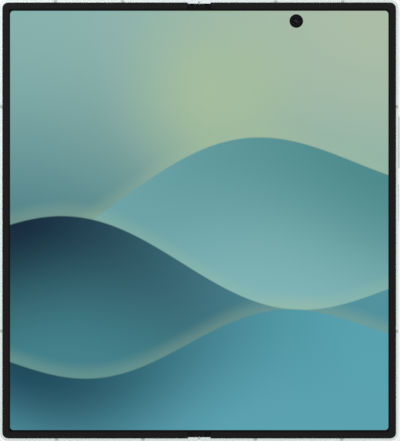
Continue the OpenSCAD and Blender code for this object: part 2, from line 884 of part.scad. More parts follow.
module right_bracket_screws() {
    color([0.3, 0.3, 0.32]) lift() bracket_screws();
}

module left_bracket_screws() {
    color([0.3, 0.3, 0.32]) lift() on_side(-1) bracket_screws();
}

// A plate under the bend with a bead along its outer edge, cut back round the hinge modules
module wing_blank() {
    difference() {
        along_y(-wing_end, wing_end) union() {
            translate([wing_in + wing_t / 2, wing_z])
                square([wing_pivot_x - wing_in - wing_t / 2, wing_t]);
            translate([wing_in + wing_t / 2, wing_z + wing_t / 2]) circle(wing_t / 2);
            translate([wing_pivot_x, wing_pivot_z]) circle(bead_r);
        }
        for (y = module_y) translate([4.4, y, wing_z - 1]) linear_extrude(3)
            rounded_rect([9, module_l + 0.8], 0.8);
    }
}

module right_wing() {
    color([0.5, 0.52, 0.54]) lift() wing_blank();
}

module left_wing() {
    color([0.5, 0.52, 0.54]) lift() on_side(-1) wing_blank();
}

// ---------- hinge, spine ----------

// A thin channel: a quarter ring round each fold axis and a flat floor between them
module cover_profile() {
    for (side = [-1, 1]) on_side(side) intersection() {
        difference() {
            fold_disc(spine_r);
            fold_disc(bore_r);
        }
        translate([fold_x, 0]) square([spine_r, fold_z]);
    }
    translate([-fold_x, spine_z]) square([2 * fold_x, spine_wall]);
}

module hinge_cover() {
    color([0.7, 0.78, 0.75]) lift() difference() {
        along_y(-spine_end, spine_end) cover_profile();
        // the arms and the flex cables leave over lower stretches of wall
        for (y = module_y)
            block([-10, y + arm_y[0] - 0.2, arm_notch_z], [10, y + arm_y[1] + 0.2, half_t]);
        for (y = flex_y)
            block([-10, y - flex_w / 2 - 0.5, flex_notch_z], [10, y + flex_w / 2 + 0.5, half_t]);
    }
}

// Block that carries the shafts of one hinge module, with pockets for gears, arms and clips
module base_blank() {
    half_l = module_l / 2;
    difference() {
        along_y(-half_l, half_l) intersection() {
            spine_shape(bore_r - 0.02);
            translate([-10, floor_z]) square([20, base_top - floor_z]);
        }
        for (side = [-1, 1]) on_side(side) {
            along_y(gear_y[0] - 0.1, gear_y[1] + 0.1) {
                translate([idler_r, idler_z]) circle(idler_r + addendum + tip_gap);
                translate([arm_x, arm_z]) circle(arm_gear_r + addendum + tip_gap);
                translate([-1, idler_z]) square([1 + arm_x + 3, half_t]);
            }
            along_y(arm_y[0] - 0.3, arm_y[1] + 0.2) {
                translate([arm_x, arm_z]) circle(hub_r + 0.05);
                translate([arm_x - hub_r - 0.05, arm_z - 0.3]) square([5, half_t]);
            }
            along_y(clip_y[0] - 0.1, clip_y[1] + 0.1) {
                pocket_r = clip_r + 0.08;
                translate([arm_x, arm_z]) circle(pocket_r);
                translate([arm_x - pocket_r, arm_z]) square([2 * pocket_r, half_t]);
            }
            along_y(-half_l - 1, half_l + 1) translate([arm_x, arm_z]) circle(shaft_r + shaft_gap);
            along_y(-half_l - 1, 0) translate([idler_r, idler_z]) circle(idler_pin_r + shaft_gap);
        }
    }
}

module hinge_bases() {
    color([0.55, 0.56, 0.58]) lift() for (y = module_y) translate([0, y, 0]) base_blank();
}

// Black block at each end of the hinge: a raised middle, lower shoulders, two pin bores. Above
// the fold axes it steps back from the frame.
module hinge_end_blocks() {
    color([0.1, 0.1, 0.1]) lift() for (flip = [0, 1]) mirror([0, flip, 0]) difference() {
        union() {
            along_y(spine_end - block_l, spine_end) intersection() {
                spine_shape(bore_r);
                translate([-10, floor_z - 1]) square([20, fold_z - floor_z + 1]);
            }
            along_y(spine_end - block_l, spine_end - groove) intersection() {
                spine_shape(spine_r);
                union() {
                    translate([-10, fold_z]) square([20, deck_z + 0.1 - fold_z]);
                    translate([0, fold_z])
                        rounded_rect([2 * block_top, 2 * (display_z - fold_z)], block_round);
                }
            }
        }
        for (side = [-1, 1]) on_side(side)
            along_y(spine_end - pin_depth, spine_end + 1) fold_disc(pin_r);
    }
}

module pivot_pins() {
    color("silver") lift() for (flip = [0, 1], side = [-1, 1])
        mirror([0, flip, 0]) on_side(side)
            translate([fold_x, spine_end - pin_depth, fold_z]) rotate([-90, 0, 0])
                cylinder(r = pin_r, h = pin_depth + half_h - end_wall + pin_reach - spine_end);
}

// Split spring rings that grip the arm shafts
module friction_clips() {
    color([0.35, 0.36, 0.38]) lift() for (y = module_y, side = [-1, 1]) on_side(side)
        along_y(y + clip_y[0], y + clip_y[1]) translate([arm_x, arm_z]) difference() {
            circle(clip_r);
            circle(shaft_r + 0.01);
            translate([-0.15, 0]) square([0.3, 1]);
        }
}

// A ribbon from the middle of the spine over its wall and down into the half
module flex_blank() {
    t = flex_t;
    low = flex_z[0];
    high = flex_z[1];
    out = flex_z[2];
    for (y = flex_y) along_y(y - flex_w / 2, y + flex_w / 2)
        polygon([[0, low], [1.2, low], [3.3, high], [4.7, high], [5.8, out], [11.6, out],
            [11.6, out + t], [5.86, out + t], [4.76, high + t], [3.24, high + t],
            [1.14, low + t], [0, low + t]]);
}

module right_hinge_flex() {
    color([0.8, 0.5, 0.15]) lift() flex_blank();
}

module left_hinge_flex() {
    color([0.8, 0.5, 0.15]) lift() on_side(-1) flex_blank();
}

// ---------- hinge, gears and arms ----------

function involute(a) = tan(a) * 180 / PI - a;

// Half of a tooth's angle at radius r
function half_tooth(r, pitch_r, teeth) =
    90 / teeth - backlash / 2 / pitch_r * 180 / PI + involute(pressure)
    - involute(acos(min(1, pitch_r * cos(pressure) / r)));

// Outline of one tooth whose middle points along angle a
function tooth(a, pitch_r, teeth) =
    let (radii = [pitch_r - dedendum, pitch_r * 0.97, pitch_r, pitch_r + addendum])
    concat(
        [for (i = [0:3]) let (b = a - half_tooth(radii[i], pitch_r, teeth))
            radii[i] * [cos(b), sin(b)]],
        [for (i = [3:-1:0]) let (b = a + half_tooth(radii[i], pitch_r, teeth))
            radii[i] * [cos(b), sin(b)]]
    );

// Outline of a gear that keeps count of its teeth, the first one along angle a
module gear_outline(a, pitch_r, teeth, count) {
    points = [for (i = [0:count - 1]) each tooth(a + i * 360 / teeth, pitch_r, teeth)];
    polygon(count < teeth ? concat(points, [[0, 0]]) : points);
}

// Toothed hub, arm and slot pin of one side. first is where its lowest-angle tooth points.
module swing_arm(side, first) {
    along_y(gear_y[0], gear_y[1]) difference() {
        translate([side * arm_x, arm_z]) gear_outline(first, arm_gear_r, arm_teeth, sector_teeth);
        translate([side * arm_x, arm_z]) circle(shaft_r);
    }
    on_side(side) {
        along_y(gear_y[0], arm_y[1]) translate([arm_x, arm_z]) difference() {
            circle(hub_r);
            circle(shaft_r);
        }
        along_y(arm_y[0], arm_y[1]) difference() {
            translate([arm_x, arm_z]) union() {
                translate([0, -0.25]) square([arm_reach, 0.45]);
                translate([arm_reach, -0.02]) circle(0.34);
            }
            translate([arm_x, arm_z]) circle(shaft_r);
        }
        along_y(-lug_y - lug_t, lug_y + lug_t)
            translate([arm_x + arm_reach, arm_z]) circle(slot_pin_r);
    }
}

module right_swing_arms() {
    first = 180 + mesh_a - (sector_teeth - 1) * 360 / arm_teeth;
    color([0.75, 0.76, 0.78]) lift() for (y = module_y) translate([0, y, 0]) swing_arm(1, first);
}

module left_swing_arms() {
    first = 180 / arm_teeth - mesh_a;
    color([0.75, 0.76, 0.78]) lift() for (y = module_y) translate([0, y, 0]) swing_arm(-1, first);
}

module shafts() {
    for (y = module_y) along_y(y - module_l / 2 + 0.2, y + module_l / 2 - 0.2)
        translate([arm_x, arm_z]) circle(shaft_r);
}

module right_shafts() {
    color("silver") lift() shafts();
}

module left_shafts() {
    color("silver") lift() on_side(-1) shafts();
}

// Idler gears with their own journals
module idlers(side, first) {
    for (y = module_y) translate([0, y, 0]) {
        along_y(gear_y[0], gear_y[1]) translate([side * idler_r, idler_z])
            gear_outline(first, idler_r, idler_teeth, idler_teeth);
        along_y(-module_l / 2 + 0.2, -0.1) translate([side * idler_r, idler_z])
            circle(idler_pin_r);
    }
}

module right_idlers() {
    color([0.8, 0.72, 0.5]) lift() idlers(1, mesh_a + 180 / idler_teeth);
}

module left_idlers() {
    color([0.8, 0.72, 0.5]) lift() idlers(-1, 180 - mesh_a);
}

// ---------- keys and tray ----------

// A key cap with a round edge swept round its face, and the flange that keeps it in the frame
module side_key(y, l, proud) {
    inner = half_w - wall_in;
    r = key_h / 2 - 0.05;
    translate([inner - 0.1, y, key_z]) rotate([90, 0, 90]) {
        linear_extrude(wall_in + proud + 0.1) rounded_rect([l - 0.8, key_h - 0.8], r - 0.4);
        round_rim([l, key_h], r) rim_profile(0.5, wall_in + proud + 0.1, key_round);
    }
    block([inner - 0.45, y - l / 2 - 0.3, key_z - 0.9], [inner - 0.05, y + l / 2 + 0.3, key_z + 0.9]);
}

module volume_key() {
    color(mint) lift() side_key(volume_y, volume_l, volume_proud);
}

module power_key() {
    color(mint) lift() side_key(power_y, power_l, power_proud);
}

// The tray: a face plate flush with the frame and a frame for two cards
module sim_tray() {
    color(mint) lift() {
        end_slot(sim_x, sim_z, sim_w + 2, 1.4, -half_h + 0.02, -half_h + 1);
        difference() {
            block([sim_x - sim_w / 2, -half_h + 0.9, sim_z - 0.5],
                [sim_x + sim_w / 2, -half_h + sim_l, sim_z + 0.5]);
            // pocket for a card with one cut corner, and the window over its contacts
            translate([sim_x - card.x / 2, -half_h + 4, sim_z - 0.2]) linear_extrude(1)
                polygon([[0, 0], [card.x, 0], [card.x, card.y], [card_cut, card.y],
                    [0, card.y - card_cut]]);
            slab([sim_x - card.x / 2 + 1, -half_h + 5], card - [2, 2], 1, 0, half_t);
            // catches
            for (s = [-1, 1]) translate([sim_x + s * sim_w / 2, -half_h + sim_l - 3, 0])
                cylinder(r = 0.5, h = half_t);
        }
    }
}

module sim_reader() {
    color("silver") lift() difference() {
        block([sim_x - sim_w / 2 - 0.5, -half_h + 2, sim_z - 0.7],
            [sim_x + sim_w / 2 + 0.5, -half_h + sim_l + 1.4, sim_z + 0.95]);
        block([sim_x - sim_w / 2 - 0.1, -half_h, sim_z - 0.55],
            [sim_x + sim_w / 2 + 0.1, -half_h + sim_l + 1, sim_z + 0.6]);
    }
}

right_frame();
left_frame();
right_antenna_breaks();
left_antenna_breaks();
right_mid_plate();
left_mid_plate();
right_bezel();
left_bezel();
inner_display_right();
inner_display_left();
display_fold_right();
display_fold_left();
selfie_camera();
rear_glass();
cover_glass();
cover_display();
cover_camera();
camera_island();
camera_rings();
camera_lenses();
camera_modules();
flash_lens();
main_board();
shield_cans();
left_board();
right_battery();
left_battery();
charging_coil();
usb_shell();
usb_tongue();
bottom_speaker();
top_speaker();
vibration_motor();
key_switches();
right_magnets();
left_magnets();
right_hinge_brackets();
left_hinge_brackets();
right_bracket_screws();
left_bracket_screws();
hinge_cover();
hinge_bases();
hinge_end_blocks();
pivot_pins();
friction_clips();
right_hinge_flex();
left_hinge_flex();
right_swing_arms();
left_swing_arms();
right_shafts();
left_shafts();
right_idlers();
left_idlers();
right_wing();
left_wing();
volume_key();
power_key();
sim_tray();
sim_reader();
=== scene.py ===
"""Looks of the foldable smartphone.

The CAD frame brings every rigid part at its place. This script gives each part a procedural
finish, builds the parts that bend or are too fine for the CAD (display over the fold, ribbon
cables, cameras, sound meshes, port contacts, flash rings, board parts) and adds floor, light
and camera. Lengths are millimetres in the shared frame. Only those of the shaders, the lamps
and the floor are metres.
"""

import json
import logging
import math
from abc import ABC, abstractmethod
from collections.abc import Mapping, Sequence
from dataclasses import dataclass
from enum import Enum
from functools import cache
from typing import ClassVar

import bmesh
import bpy
from mathutils import Matrix, Vector


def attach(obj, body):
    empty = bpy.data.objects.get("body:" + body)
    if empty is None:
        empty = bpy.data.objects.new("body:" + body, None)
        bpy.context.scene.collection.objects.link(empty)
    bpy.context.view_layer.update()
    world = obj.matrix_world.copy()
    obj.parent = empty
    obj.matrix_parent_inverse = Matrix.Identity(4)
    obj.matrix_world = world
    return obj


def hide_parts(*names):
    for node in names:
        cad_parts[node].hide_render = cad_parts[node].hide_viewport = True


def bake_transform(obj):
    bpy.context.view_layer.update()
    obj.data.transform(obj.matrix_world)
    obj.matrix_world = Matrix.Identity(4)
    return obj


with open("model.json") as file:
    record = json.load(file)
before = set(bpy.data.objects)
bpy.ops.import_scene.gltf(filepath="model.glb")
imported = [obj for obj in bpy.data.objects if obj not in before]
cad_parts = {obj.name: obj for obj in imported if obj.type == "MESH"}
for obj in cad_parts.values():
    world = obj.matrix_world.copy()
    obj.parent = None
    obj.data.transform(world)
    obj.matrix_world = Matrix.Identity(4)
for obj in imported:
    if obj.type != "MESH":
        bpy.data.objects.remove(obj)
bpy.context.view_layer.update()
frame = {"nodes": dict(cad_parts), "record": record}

MM = 0.001
LOG = logging.getLogger("foldable_phone")

Color = tuple[float, float, float, float]
Point = tuple[float, float, float]
Pair = tuple[float, float]
Socket = bpy.types.NodeSocket
Value = float | Socket

# Heights in the shared frame
BACK_Z = 2.2
BOARD_FACE = BACK_Z + 2.1
PORT_MIDDLE = BACK_Z + 2.03
DISPLAY_TOP = BACK_Z + 4.0
DISPLAY_THICKNESS = 0.5

# The pockets in which the hinge's ends sit, along Y, and the height of their floor
POCKET_INNER_Y = 75.8
POCKET_OUTER_Y = 77.94
POCKET_FLOOR = BACK_Z + 0.3

# Middle of the camera island, and the distance between its cameras
ISLAND = (58.15, 44.5)
CAMERA_PITCH = 18.4

# UV map that keeps each point's place at rest
REST_UV = "rest_place"

# Lengths below this count as nothing
TINY = 1e-6

# Points nearer than this become one, in a built mesh and in a tree's plate
WELD_DISTANCE = 1e-5
PLATE_WELD_DISTANCE = 0.0005


class Side(Enum):
    """The two halves of the phone. The value mirrors X."""

    RIGHT = 1
    LEFT = -1

    @property
    def body(self) -> str:
        """Gives the name of the CAD body of this half."""
        return f"{self.label}_half"

    @property
    def label(self) -> str:
        """Gives the word for this half in names."""
        return self.name.lower()


class Facing(Enum):
    """Direction that a camera looks in, along Z."""

    FRONT = 1
    BACK = -1


class Axis(Enum):
    """Axes that a pattern may run along."""

    X = "X"
    Y = "Y"


class ScreenCoordinates(Enum):
    """What the picture on a display takes its place from."""

    OBJECT = "object"
    REST_UV = "rest_uv"


class TreeKind(Enum):
    """Kinds of node groups, by Blender's name."""

    SHADER = "ShaderNodeTree"
    GEOMETRY = "GeometryNodeTree"


class SocketKind(Enum):
    """Kinds of a group's sockets, by Blender's name."""

    INT = "NodeSocketInt"
    FLOAT = "NodeSocketFloat"
    VECTOR = "NodeSocketVector"
    COLOR = "NodeSocketColor"
    GEOMETRY = "NodeSocketGeometry"
    MATERIAL = "NodeSocketMaterial"


def rgb(red: float, green: float, blue: float) -> Color:
    """Gives the linear colour of an 8-bit sRGB colour.

    Args:
        red: Red from 0 to 255.
        green: Green from 0 to 255.
        blue: Blue from 0 to 255.

    Returns:
        Linear red, green, blue and an alpha of 1.
    """
    shares = (value / 255 for value in (red, green, blue))
    linear = (s / 12.92 if s <= 0.04045 else ((s + 0.055) / 1.055) ** 2.4 for s in shares)
    return (*linear, 1.0)


# ---------------------------------------------------------------------------
# Node trees
# ---------------------------------------------------------------------------


class Graph:
    """Adds nodes to one tree and wires them."""

    def __init__(self, tree: bpy.types.NodeTree) -> None:
        """Keeps the shader or geometry tree that the nodes go into."""
        self.tree = tree

    def add(
        self, kind: str, inputs: Mapping[str | int, object] | None = None, **settings: object
    ) -> bpy.types.Node:
        """Adds one node.

        Args:
            kind: Blender's class name of the node.
            inputs: Value or source socket for each input, by name or index.
            **settings: Properties of the node, set before its inputs.

        Returns:
            The new node.
        """
        node = self.tree.nodes.new(kind)
        for name, value in settings.items():
            setattr(node, name, value)
        for key, value in (inputs or {}).items():
            if isinstance(value, Socket):
                self.tree.links.new(value, node.inputs[key])
            else:
                node.inputs[key].default_value = value
        return node

    def math(self, operation: str, first: Value, second: Value = 0.0) -> Socket:
        """Does one sum, by Blender's name of the operation."""
        return self.add("ShaderNodeMath", {0: first, 1: second}, operation=operation).outputs[0]

    def total(self, first: Value, *others: Value) -> Socket:
        """Adds up values.

        Args:
            first: First value.
            *others: Values to add to it.

        Returns:
            Their total.
        """
        for other in others:
            first = self.math("ADD", first, other)
        return first

    def product(self, first: Value, *others: Value) -> Socket:
        """Multiplies values.

        Args:
            first: First value.
            *others: Values to multiply it by.

        Returns:
            Their product.
        """
        for other in others:
            first = self.math("MULTIPLY", first, other)
        return first

    def step(
        self, value: Value, low: float, high: float, to_low: float = 0.0, to_high: float = 1.0
    ) -> Socket:
        """Maps a value smoothly from one range to another and clamps it.

        Args:
            value: Value to map.
            low: Value that gives to_low.
            high: Value that gives to_high.
            to_low: Result at low.
            to_high: Result at high.

        Returns:
            The mapped value.
        """
        inputs = {0: value, 1: low, 2: high, 3: to_low, 4: to_high}
        return self.add("ShaderNodeMapRange", inputs, interpolation_type="SMOOTHSTEP").outputs[0]

    def vary(self, grain: Value, middle: float, spread: float) -> Socket:
        """Spreads the value of a grain round a middle."""
        return self.step(grain, low=0.2, high=0.8, to_low=middle - spread, to_high=middle + spread)

    def mix(self, factor: Value, first: Color | Socket, second: Color | Socket) -> Socket:
        """Mixes two colours.

        Args:
            factor: Share of the second colour.
            first: First colour.
            second: Second colour.

        Returns:
            The mixed colour.
        """
        # Inputs 6 and 7 and output 2 are the node's colour sockets
        return self.add("ShaderNodeMix", {0: factor, 6: first, 7: second}, data_type="RGBA").outputs[2]

    def blend(self, factor: Value, first: Socket, second: Socket) -> Socket:
        """Mixes two shaders by the share of the second."""
        return self.add("ShaderNodeMixShader", {0: factor, 1: first, 2: second}).outputs[0]

    def vector(self, operation: str, first: Socket, second: Point | Socket) -> bpy.types.Node:
        """Does one sum with two vectors, by Blender's name of the operation."""
        return self.add("ShaderNodeVectorMath", {0: first, 1: second}, operation=operation)

    def absolute(self, vector: Socket) -> Socket:
        """Gives a vector without its signs."""
        return self.add("ShaderNodeVectorMath", {0: vector}, operation="ABSOLUTE").outputs[0]

    def combine(self, x: Value = 0.0, y: Value = 0.0, z: Value = 0.0) -> Socket:
        """Makes a vector of its three parts."""
        return self.add("ShaderNodeCombineXYZ", {0: x, 1: y, 2: z}).outputs[0]

    def split(self, vector: Socket) -> tuple[Socket, Socket, Socket]:
        """Gives the X, Y and Z of a vector."""
        return tuple(self.add("ShaderNodeSeparateXYZ", {0: vector}).outputs)

    def place(self) -> Socket:
        """Gives the place in the object's own coordinates, in metres."""
        return self.add("ShaderNodeTexCoord").outputs["Object"]

    def noise(self, place: Socket, scale: Value, detail: float, distortion: float = 0.0) -> Socket:
        """Gives smooth noise.

        Args:
            place: Place that the noise is read at.
            scale: Its fineness.
            detail: Number of finer layers.
            distortion: How far it is warped.

        Returns:
            A value about 0.5.
        """
        inputs = {"Vector": place, "Scale": scale, "Detail": detail, "Distortion": distortion}
        return self.add("ShaderNodeTexNoise", inputs).outputs[0]

    def scatter(self, place: Socket, scale: Value) -> Socket:
        """Gives the distance to the nearest of scattered points."""
        return self.add("ShaderNodeTexVoronoi", {"Vector": place, "Scale": scale}).outputs["Distance"]

    def stripes(self, place: Socket, scale: float, axis: Axis) -> Socket:
        """Gives even stripes that follow each other along an axis."""
        inputs = {"Vector": place, "Scale": scale}
        return self.add("ShaderNodeTexWave", inputs, bands_direction=axis.value).outputs["Fac"]

    def effect(
        self, tree: bpy.types.NodeTree, inputs: Mapping[str, object] | None = None, output: str = "Mask"
    ) -> Socket:
        """Adds a shared effect and gives one of its outputs."""
        return self.add("ShaderNodeGroup", inputs, node_tree=tree).outputs[output]

    def principled(self, inputs: Mapping[str, object]) -> Socket:
        """Adds the usual surface shader."""
        return self.add("ShaderNodeBsdfPrincipled", inputs).outputs[0]

    def join(self, *parts: Socket) -> Socket:
        """Joins geometry.

        Args:
            *parts: What to join.

        Returns:
            The joined geometry.
        """
        node = self.add("GeometryNodeJoinGeometry")
        for part in parts:
            self.tree.links.new(part, node.inputs[0])
        return node.outputs[0]


def cleared(owner: bpy.types.Material | bpy.types.World) -> Graph:
    """Turns on the nodes of a material or world and gives its empty tree.

    Args:
        owner: The new material or world.

    Returns:
        A graph of its tree.
    """
    owner.use_nodes = True
    owner.node_tree.nodes.clear()
    return Graph(owner.node_tree)


class GroupTree:
    """A node group under construction, with named inputs and outputs."""

    def __init__(
        self, name: str, kind: TreeKind, inputs: Mapping[str, object], outputs: Mapping[str, SocketKind]
    ) -> None:
        """Makes the tree and its interface.

        Args:
            name: Name of the group.
            kind: Kind of the group.
            inputs: Default of each input, or its kind where it has no default, by name.
            outputs: Kind of each output, by name.
        """
        kinds = {int: SocketKind.INT, float: SocketKind.FLOAT, tuple: SocketKind.VECTOR}
        self.tree = bpy.data.node_groups.new(name, kind.value)
        for label, given in inputs.items():
            bare = isinstance(given, SocketKind)
            wanted = given if bare else kinds[type(given)]
            socket = self.tree.interface.new_socket(label, in_out="INPUT", socket_type=wanted.value)
            if not bare:
                socket.default_value = given
        for label, wanted in outputs.items():
            self.tree.interface.new_socket(label, in_out="OUTPUT", socket_type=wanted.value)
        self.graph = Graph(self.tree)
        self.inputs = self.tree.nodes.new("NodeGroupInput").outputs
        self.results = self.tree.nodes.new("NodeGroupOutput").inputs

    def give(self, label: str, socket: Socket) -> None:
        """Links a result to one of the outputs."""
        self.tree.links.new(socket, self.results[label])


class MaskGroup(GroupTree):
    """A shader group with one output, a mask."""

    def __init__(self, name: str, inputs: Mapping[str, object]) -> None:
        """Makes the tree with the given inputs."""
        super().__init__(name, TreeKind.SHADER, inputs, {"Mask": SocketKind.FLOAT})

    def done(self, mask: Socket) -> bpy.types.NodeTree:
        """Links the mask, times the input Amount where there is one, and gives the tree.

        Args:
            mask: The finished mask.

        Returns:
            The group's tree.
        """
        if "Amount" in self.inputs:
            mask = self.graph.product(mask, self.inputs["Amount"])
        self.give("Mask", mask)
        return self.tree


class Effects:
    """Shared shading effects. Each group is built once and gives masks, values or normals."""

    @staticmethod
    @cache
    def edge_wear() -> bpy.types.NodeTree:
        """Builds the group that marks edges within a radius, broken up by noise.

        Returns:
            A tree with the inputs Radius and Amount and the output Mask.
        """
        made = MaskGroup("edge_wear", {"Radius": 0.0002, "Amount": 0.5})
        g = made.graph
        bevel = g.add("ShaderNodeBevel", {"Radius": made.inputs["Radius"]}, samples=4).outputs[0]
        true = g.add("ShaderNodeNewGeometry").outputs["Normal"]
        flat = g.vector("DOT_PRODUCT", bevel, true).outputs["Value"]
        edge = g.step(g.math("SUBTRACT", 1.0, flat), low=0.01, high=0.2)
        broken = g.step(g.noise(g.place(), scale=900.0, detail=3.0), low=0.35, high=0.65)
        return made.done(g.product(edge, broken))

    @staticmethod
    @cache
    def grain() -> bpy.types.NodeTree:
        """Builds the group for blasted or moulded surfaces.

        Returns:
            A tree with the inputs Scale, Depth and Stretch and the outputs Value and Normal.
        """
        inputs = {"Scale": 5000.0, "Depth": 0.1, "Stretch": (1.0, 1.0, 1.0)}
        outputs = {"Value": SocketKind.FLOAT, "Normal": SocketKind.VECTOR}
        made = GroupTree("fine_grain", TreeKind.SHADER, inputs, outputs)
        g = made.graph
        stretched = g.add("ShaderNodeMapping", {"Vector": g.place(), "Scale": made.inputs["Stretch"]})
        noise = g.noise(stretched.outputs[0], scale=made.inputs["Scale"], detail=2.0)
        bump = {"Strength": made.inputs["Depth"], "Distance": 0.00002, "Height": noise}
        made.give("Value", noise)
        made.give("Normal", g.add("ShaderNodeBump", bump).outputs[0])
        return made.tree

    @staticmethod
    @cache
    def smudges() -> bpy.types.NodeTree:
        """Builds the group for traces of use on glass: soft wiped marks.

        Returns:
            A tree with the inputs Scale and Amount and the output Mask.
        """
        made = MaskGroup("smudges", {"Scale": 45.0, "Amount": 1.0})
        g = made.graph
        wipe = {"Vector": g.place(), "Rotation": (0.0, 0.0, 0.6), "Scale": (1.0, 2.4, 1.0)}
        wiped = g.add("ShaderNodeMapping", wipe).outputs[0]
        noise = g.noise(wiped, scale=made.inputs["Scale"], detail=4.0, distortion=1.2)
        return made.done(g.step(noise, low=0.45, high=0.8))

    @staticmethod
    @cache
    def hinge_pocket_shade() -> bpy.types.NodeTree:
        """Builds the group that marks the pockets round the hinge's ends, where the metal gets painted shade.

        Returns:
            A tree with the input Half Width and the output Mask.
        """
        made = MaskGroup("hinge_pocket_shade", {"Half Width": 0.00432})
        g = made.graph
        x, y, z = g.split(g.absolute(g.place()))
        across = g.math("LESS_THAN", x, made.inputs["Half Width"])
        inner = g.math("GREATER_THAN", y, POCKET_INNER_Y * MM)
        outer = g.math("LESS_THAN", y, POCKET_OUTER_Y * MM)
        above = g.math("GREATER_THAN", z, POCKET_FLOOR * MM)
        return made.done(g.product(across, inner, outer, above))

    @staticmethod
    @cache
    def dust() -> bpy.types.NodeTree:
        """Builds the group for sparse specks that lie on faces turned up.

        Returns:
            A tree with the inputs Spacing and Amount and the output Mask.
        """
        made = MaskGroup("dust", {"Spacing": 260.0, "Amount": 0.3})
        g = made.graph
        near = g.scatter(g.place(), scale=made.inputs["Spacing"])
        speck = g.step(near, low=0.03, high=0.06, to_low=1.0, to_high=0.0)
        _, _, up = g.split(g.add("ShaderNodeNewGeometry").outputs["Normal"])
        return made.done(g.product(speck, g.step(up, low=0.6, high=0.95)))


@dataclass(frozen=True)
class Wave:
    """One soft fold of the picture on the display.

    Attributes:
        height: Height of its edge at the middle of the display.
        slope: Rise of the edge per millimetre across.
        swing: Height of the edge's wave.
        length: Length of the edge's wave.
        phase: Start of the wave in radians.
        reach: How far the shade under the edge runs down.
        left: Colour under the edge on the left.
        right: Colour under the edge on the right.
        pale: Colour where the shade has run out.
    """

    height: float
    slope: float
    swing: float
    length: float
    phase: float
    reach: float
    left: Color
    right: Color
    pale: Color


@dataclass(frozen=True)
class Wallpaper:
    """The picture on the display: a plain gradient behind three overlapping soft waves.

    Attributes:
        half_width: Half of its width.
        half_height: Half of its height.
        low_share: Share of the lower half over which the gradient rises.
        top_left: Colour of the gradient at the top left.
        top_right: Colour of the gradient at the top right.
        low_left: Colour of the gradient at the bottom left.
        low_right: Colour of the gradient at the bottom right.
        glow: Colour of the glow and of the light on the waves' rims.
        glow_place: Middle of the glow.
        glow_radius: Radius of the glow.
        glow_share: Strength of the glow in its middle.
        edge_softness: Half of the width over which a wave's edge fades.
        rim_light: Strength of the light on a wave's rim.
        rim_width: Width of that light.
        waves: The waves, from the back to the front.
    """

    half_width: float = 68.0
    half_height: float = 75.4
    low_share: float = 0.4
    top_left: Color = rgb(137, 182, 178)
    top_right: Color = rgb(176, 194, 171)
    low_left: Color = rgb(60, 120, 130)
    low_right: Color = rgb(120, 178, 172)
    glow: Color = rgb(172, 198, 159)
    glow_place: Point = (6.0, 44.0, 0.0)
    glow_radius: float = 46.0
    glow_share: float = 0.8
    edge_softness: float = 0.35
    rim_light: float = 0.22
    rim_width: float = 7.0
    waves: tuple[Wave, ...] = (
        Wave(
            height=12.0, slope=0.16, swing=15.0, length=168.0, phase=1.05, reach=62.0,
            left=rgb(116, 174, 178), right=rgb(78, 142, 144), pale=rgb(130, 186, 188),
        ),
        Wave(
            height=-16.0, slope=-0.12, swing=12.0, length=150.0, phase=3.4, reach=54.0,
            left=rgb(8, 40, 62), right=rgb(82, 150, 162), pale=rgb(66, 132, 142),
        ),
        Wave(
            height=-44.0, slope=0.10, swing=9.0, length=128.0, phase=0.2, reach=44.0,
            left=rgb(22, 74, 92), right=rgb(88, 166, 180), pale=rgb(92, 166, 182),
        ),
    )

    @cache
    def group(self) -> bpy.types.NodeTree:
        """Builds the group that turns a place in millimetres into a colour, at the first call.

        Returns:
            A tree with the input Place and the output Color.
        """
        inputs, outputs = {"Place": (0.0, 0.0, 0.0)}, {"Color": SocketKind.COLOR}
        made = GroupTree("wallpaper", TreeKind.SHADER, inputs, outputs)
        g = made.graph
        x, y, _ = g.split(made.inputs["Place"])
        across = g.step(x, -self.half_width, self.half_width)
        up = g.step(y, -self.half_height * self.low_share, self.half_height)
        top = g.mix(across, self.top_left, self.top_right)
        low = g.mix(across, self.low_left, self.low_right)
        away = g.vector("DISTANCE", made.inputs["Place"], self.glow_place).outputs["Value"]
        glow = g.step(away, self.glow_radius, 0.0, to_high=self.glow_share)
        color = g.mix(glow, g.mix(up, low, top), self.glow)
        for wave in self.waves:
            turn = g.total(g.product(x, 2 * math.pi / wave.length), wave.phase)
            edge = g.total(g.product(g.math("SINE", turn), wave.swing), g.product(x, wave.slope), wave.height)
            depth = g.math("SUBTRACT", edge, y)
            rim = g.product(g.step(depth, -self.rim_width, 0.0), self.rim_light)
            behind = g.mix(rim, color, self.glow)
            shade = g.mix(across, wave.left, wave.right)
            under = g.mix(g.step(depth, 0.0, wave.reach), shade, wave.pale)
            color = g.mix(g.step(depth, -self.edge_softness, self.edge_softness), behind, under)
        made.give("Color", color)
        return made.tree


# ---------------------------------------------------------------------------
# Finishes
# ---------------------------------------------------------------------------


@dataclass(frozen=True)
class Finish(ABC):
    """A surface finish that can build its material.

    Attributes:
        name: Name of the material.
    """

    name: str

    @abstractmethod
    def shade(self, g: Graph) -> Socket:
        """Builds the surface.

        Args:
            g: Tree of the material.

        Returns:
            Its shader output.
        """

    @cache
    def material(self) -> bpy.types.Material:
        """Builds the material at the first call and gives the same one later.

        Returns:
            The material.
        """
        made = bpy.data.materials.new(f"look_{self.name}")
        g = cleared(made)
        g.add("ShaderNodeOutputMaterial", {"Surface": self.shade(g)})
        return made


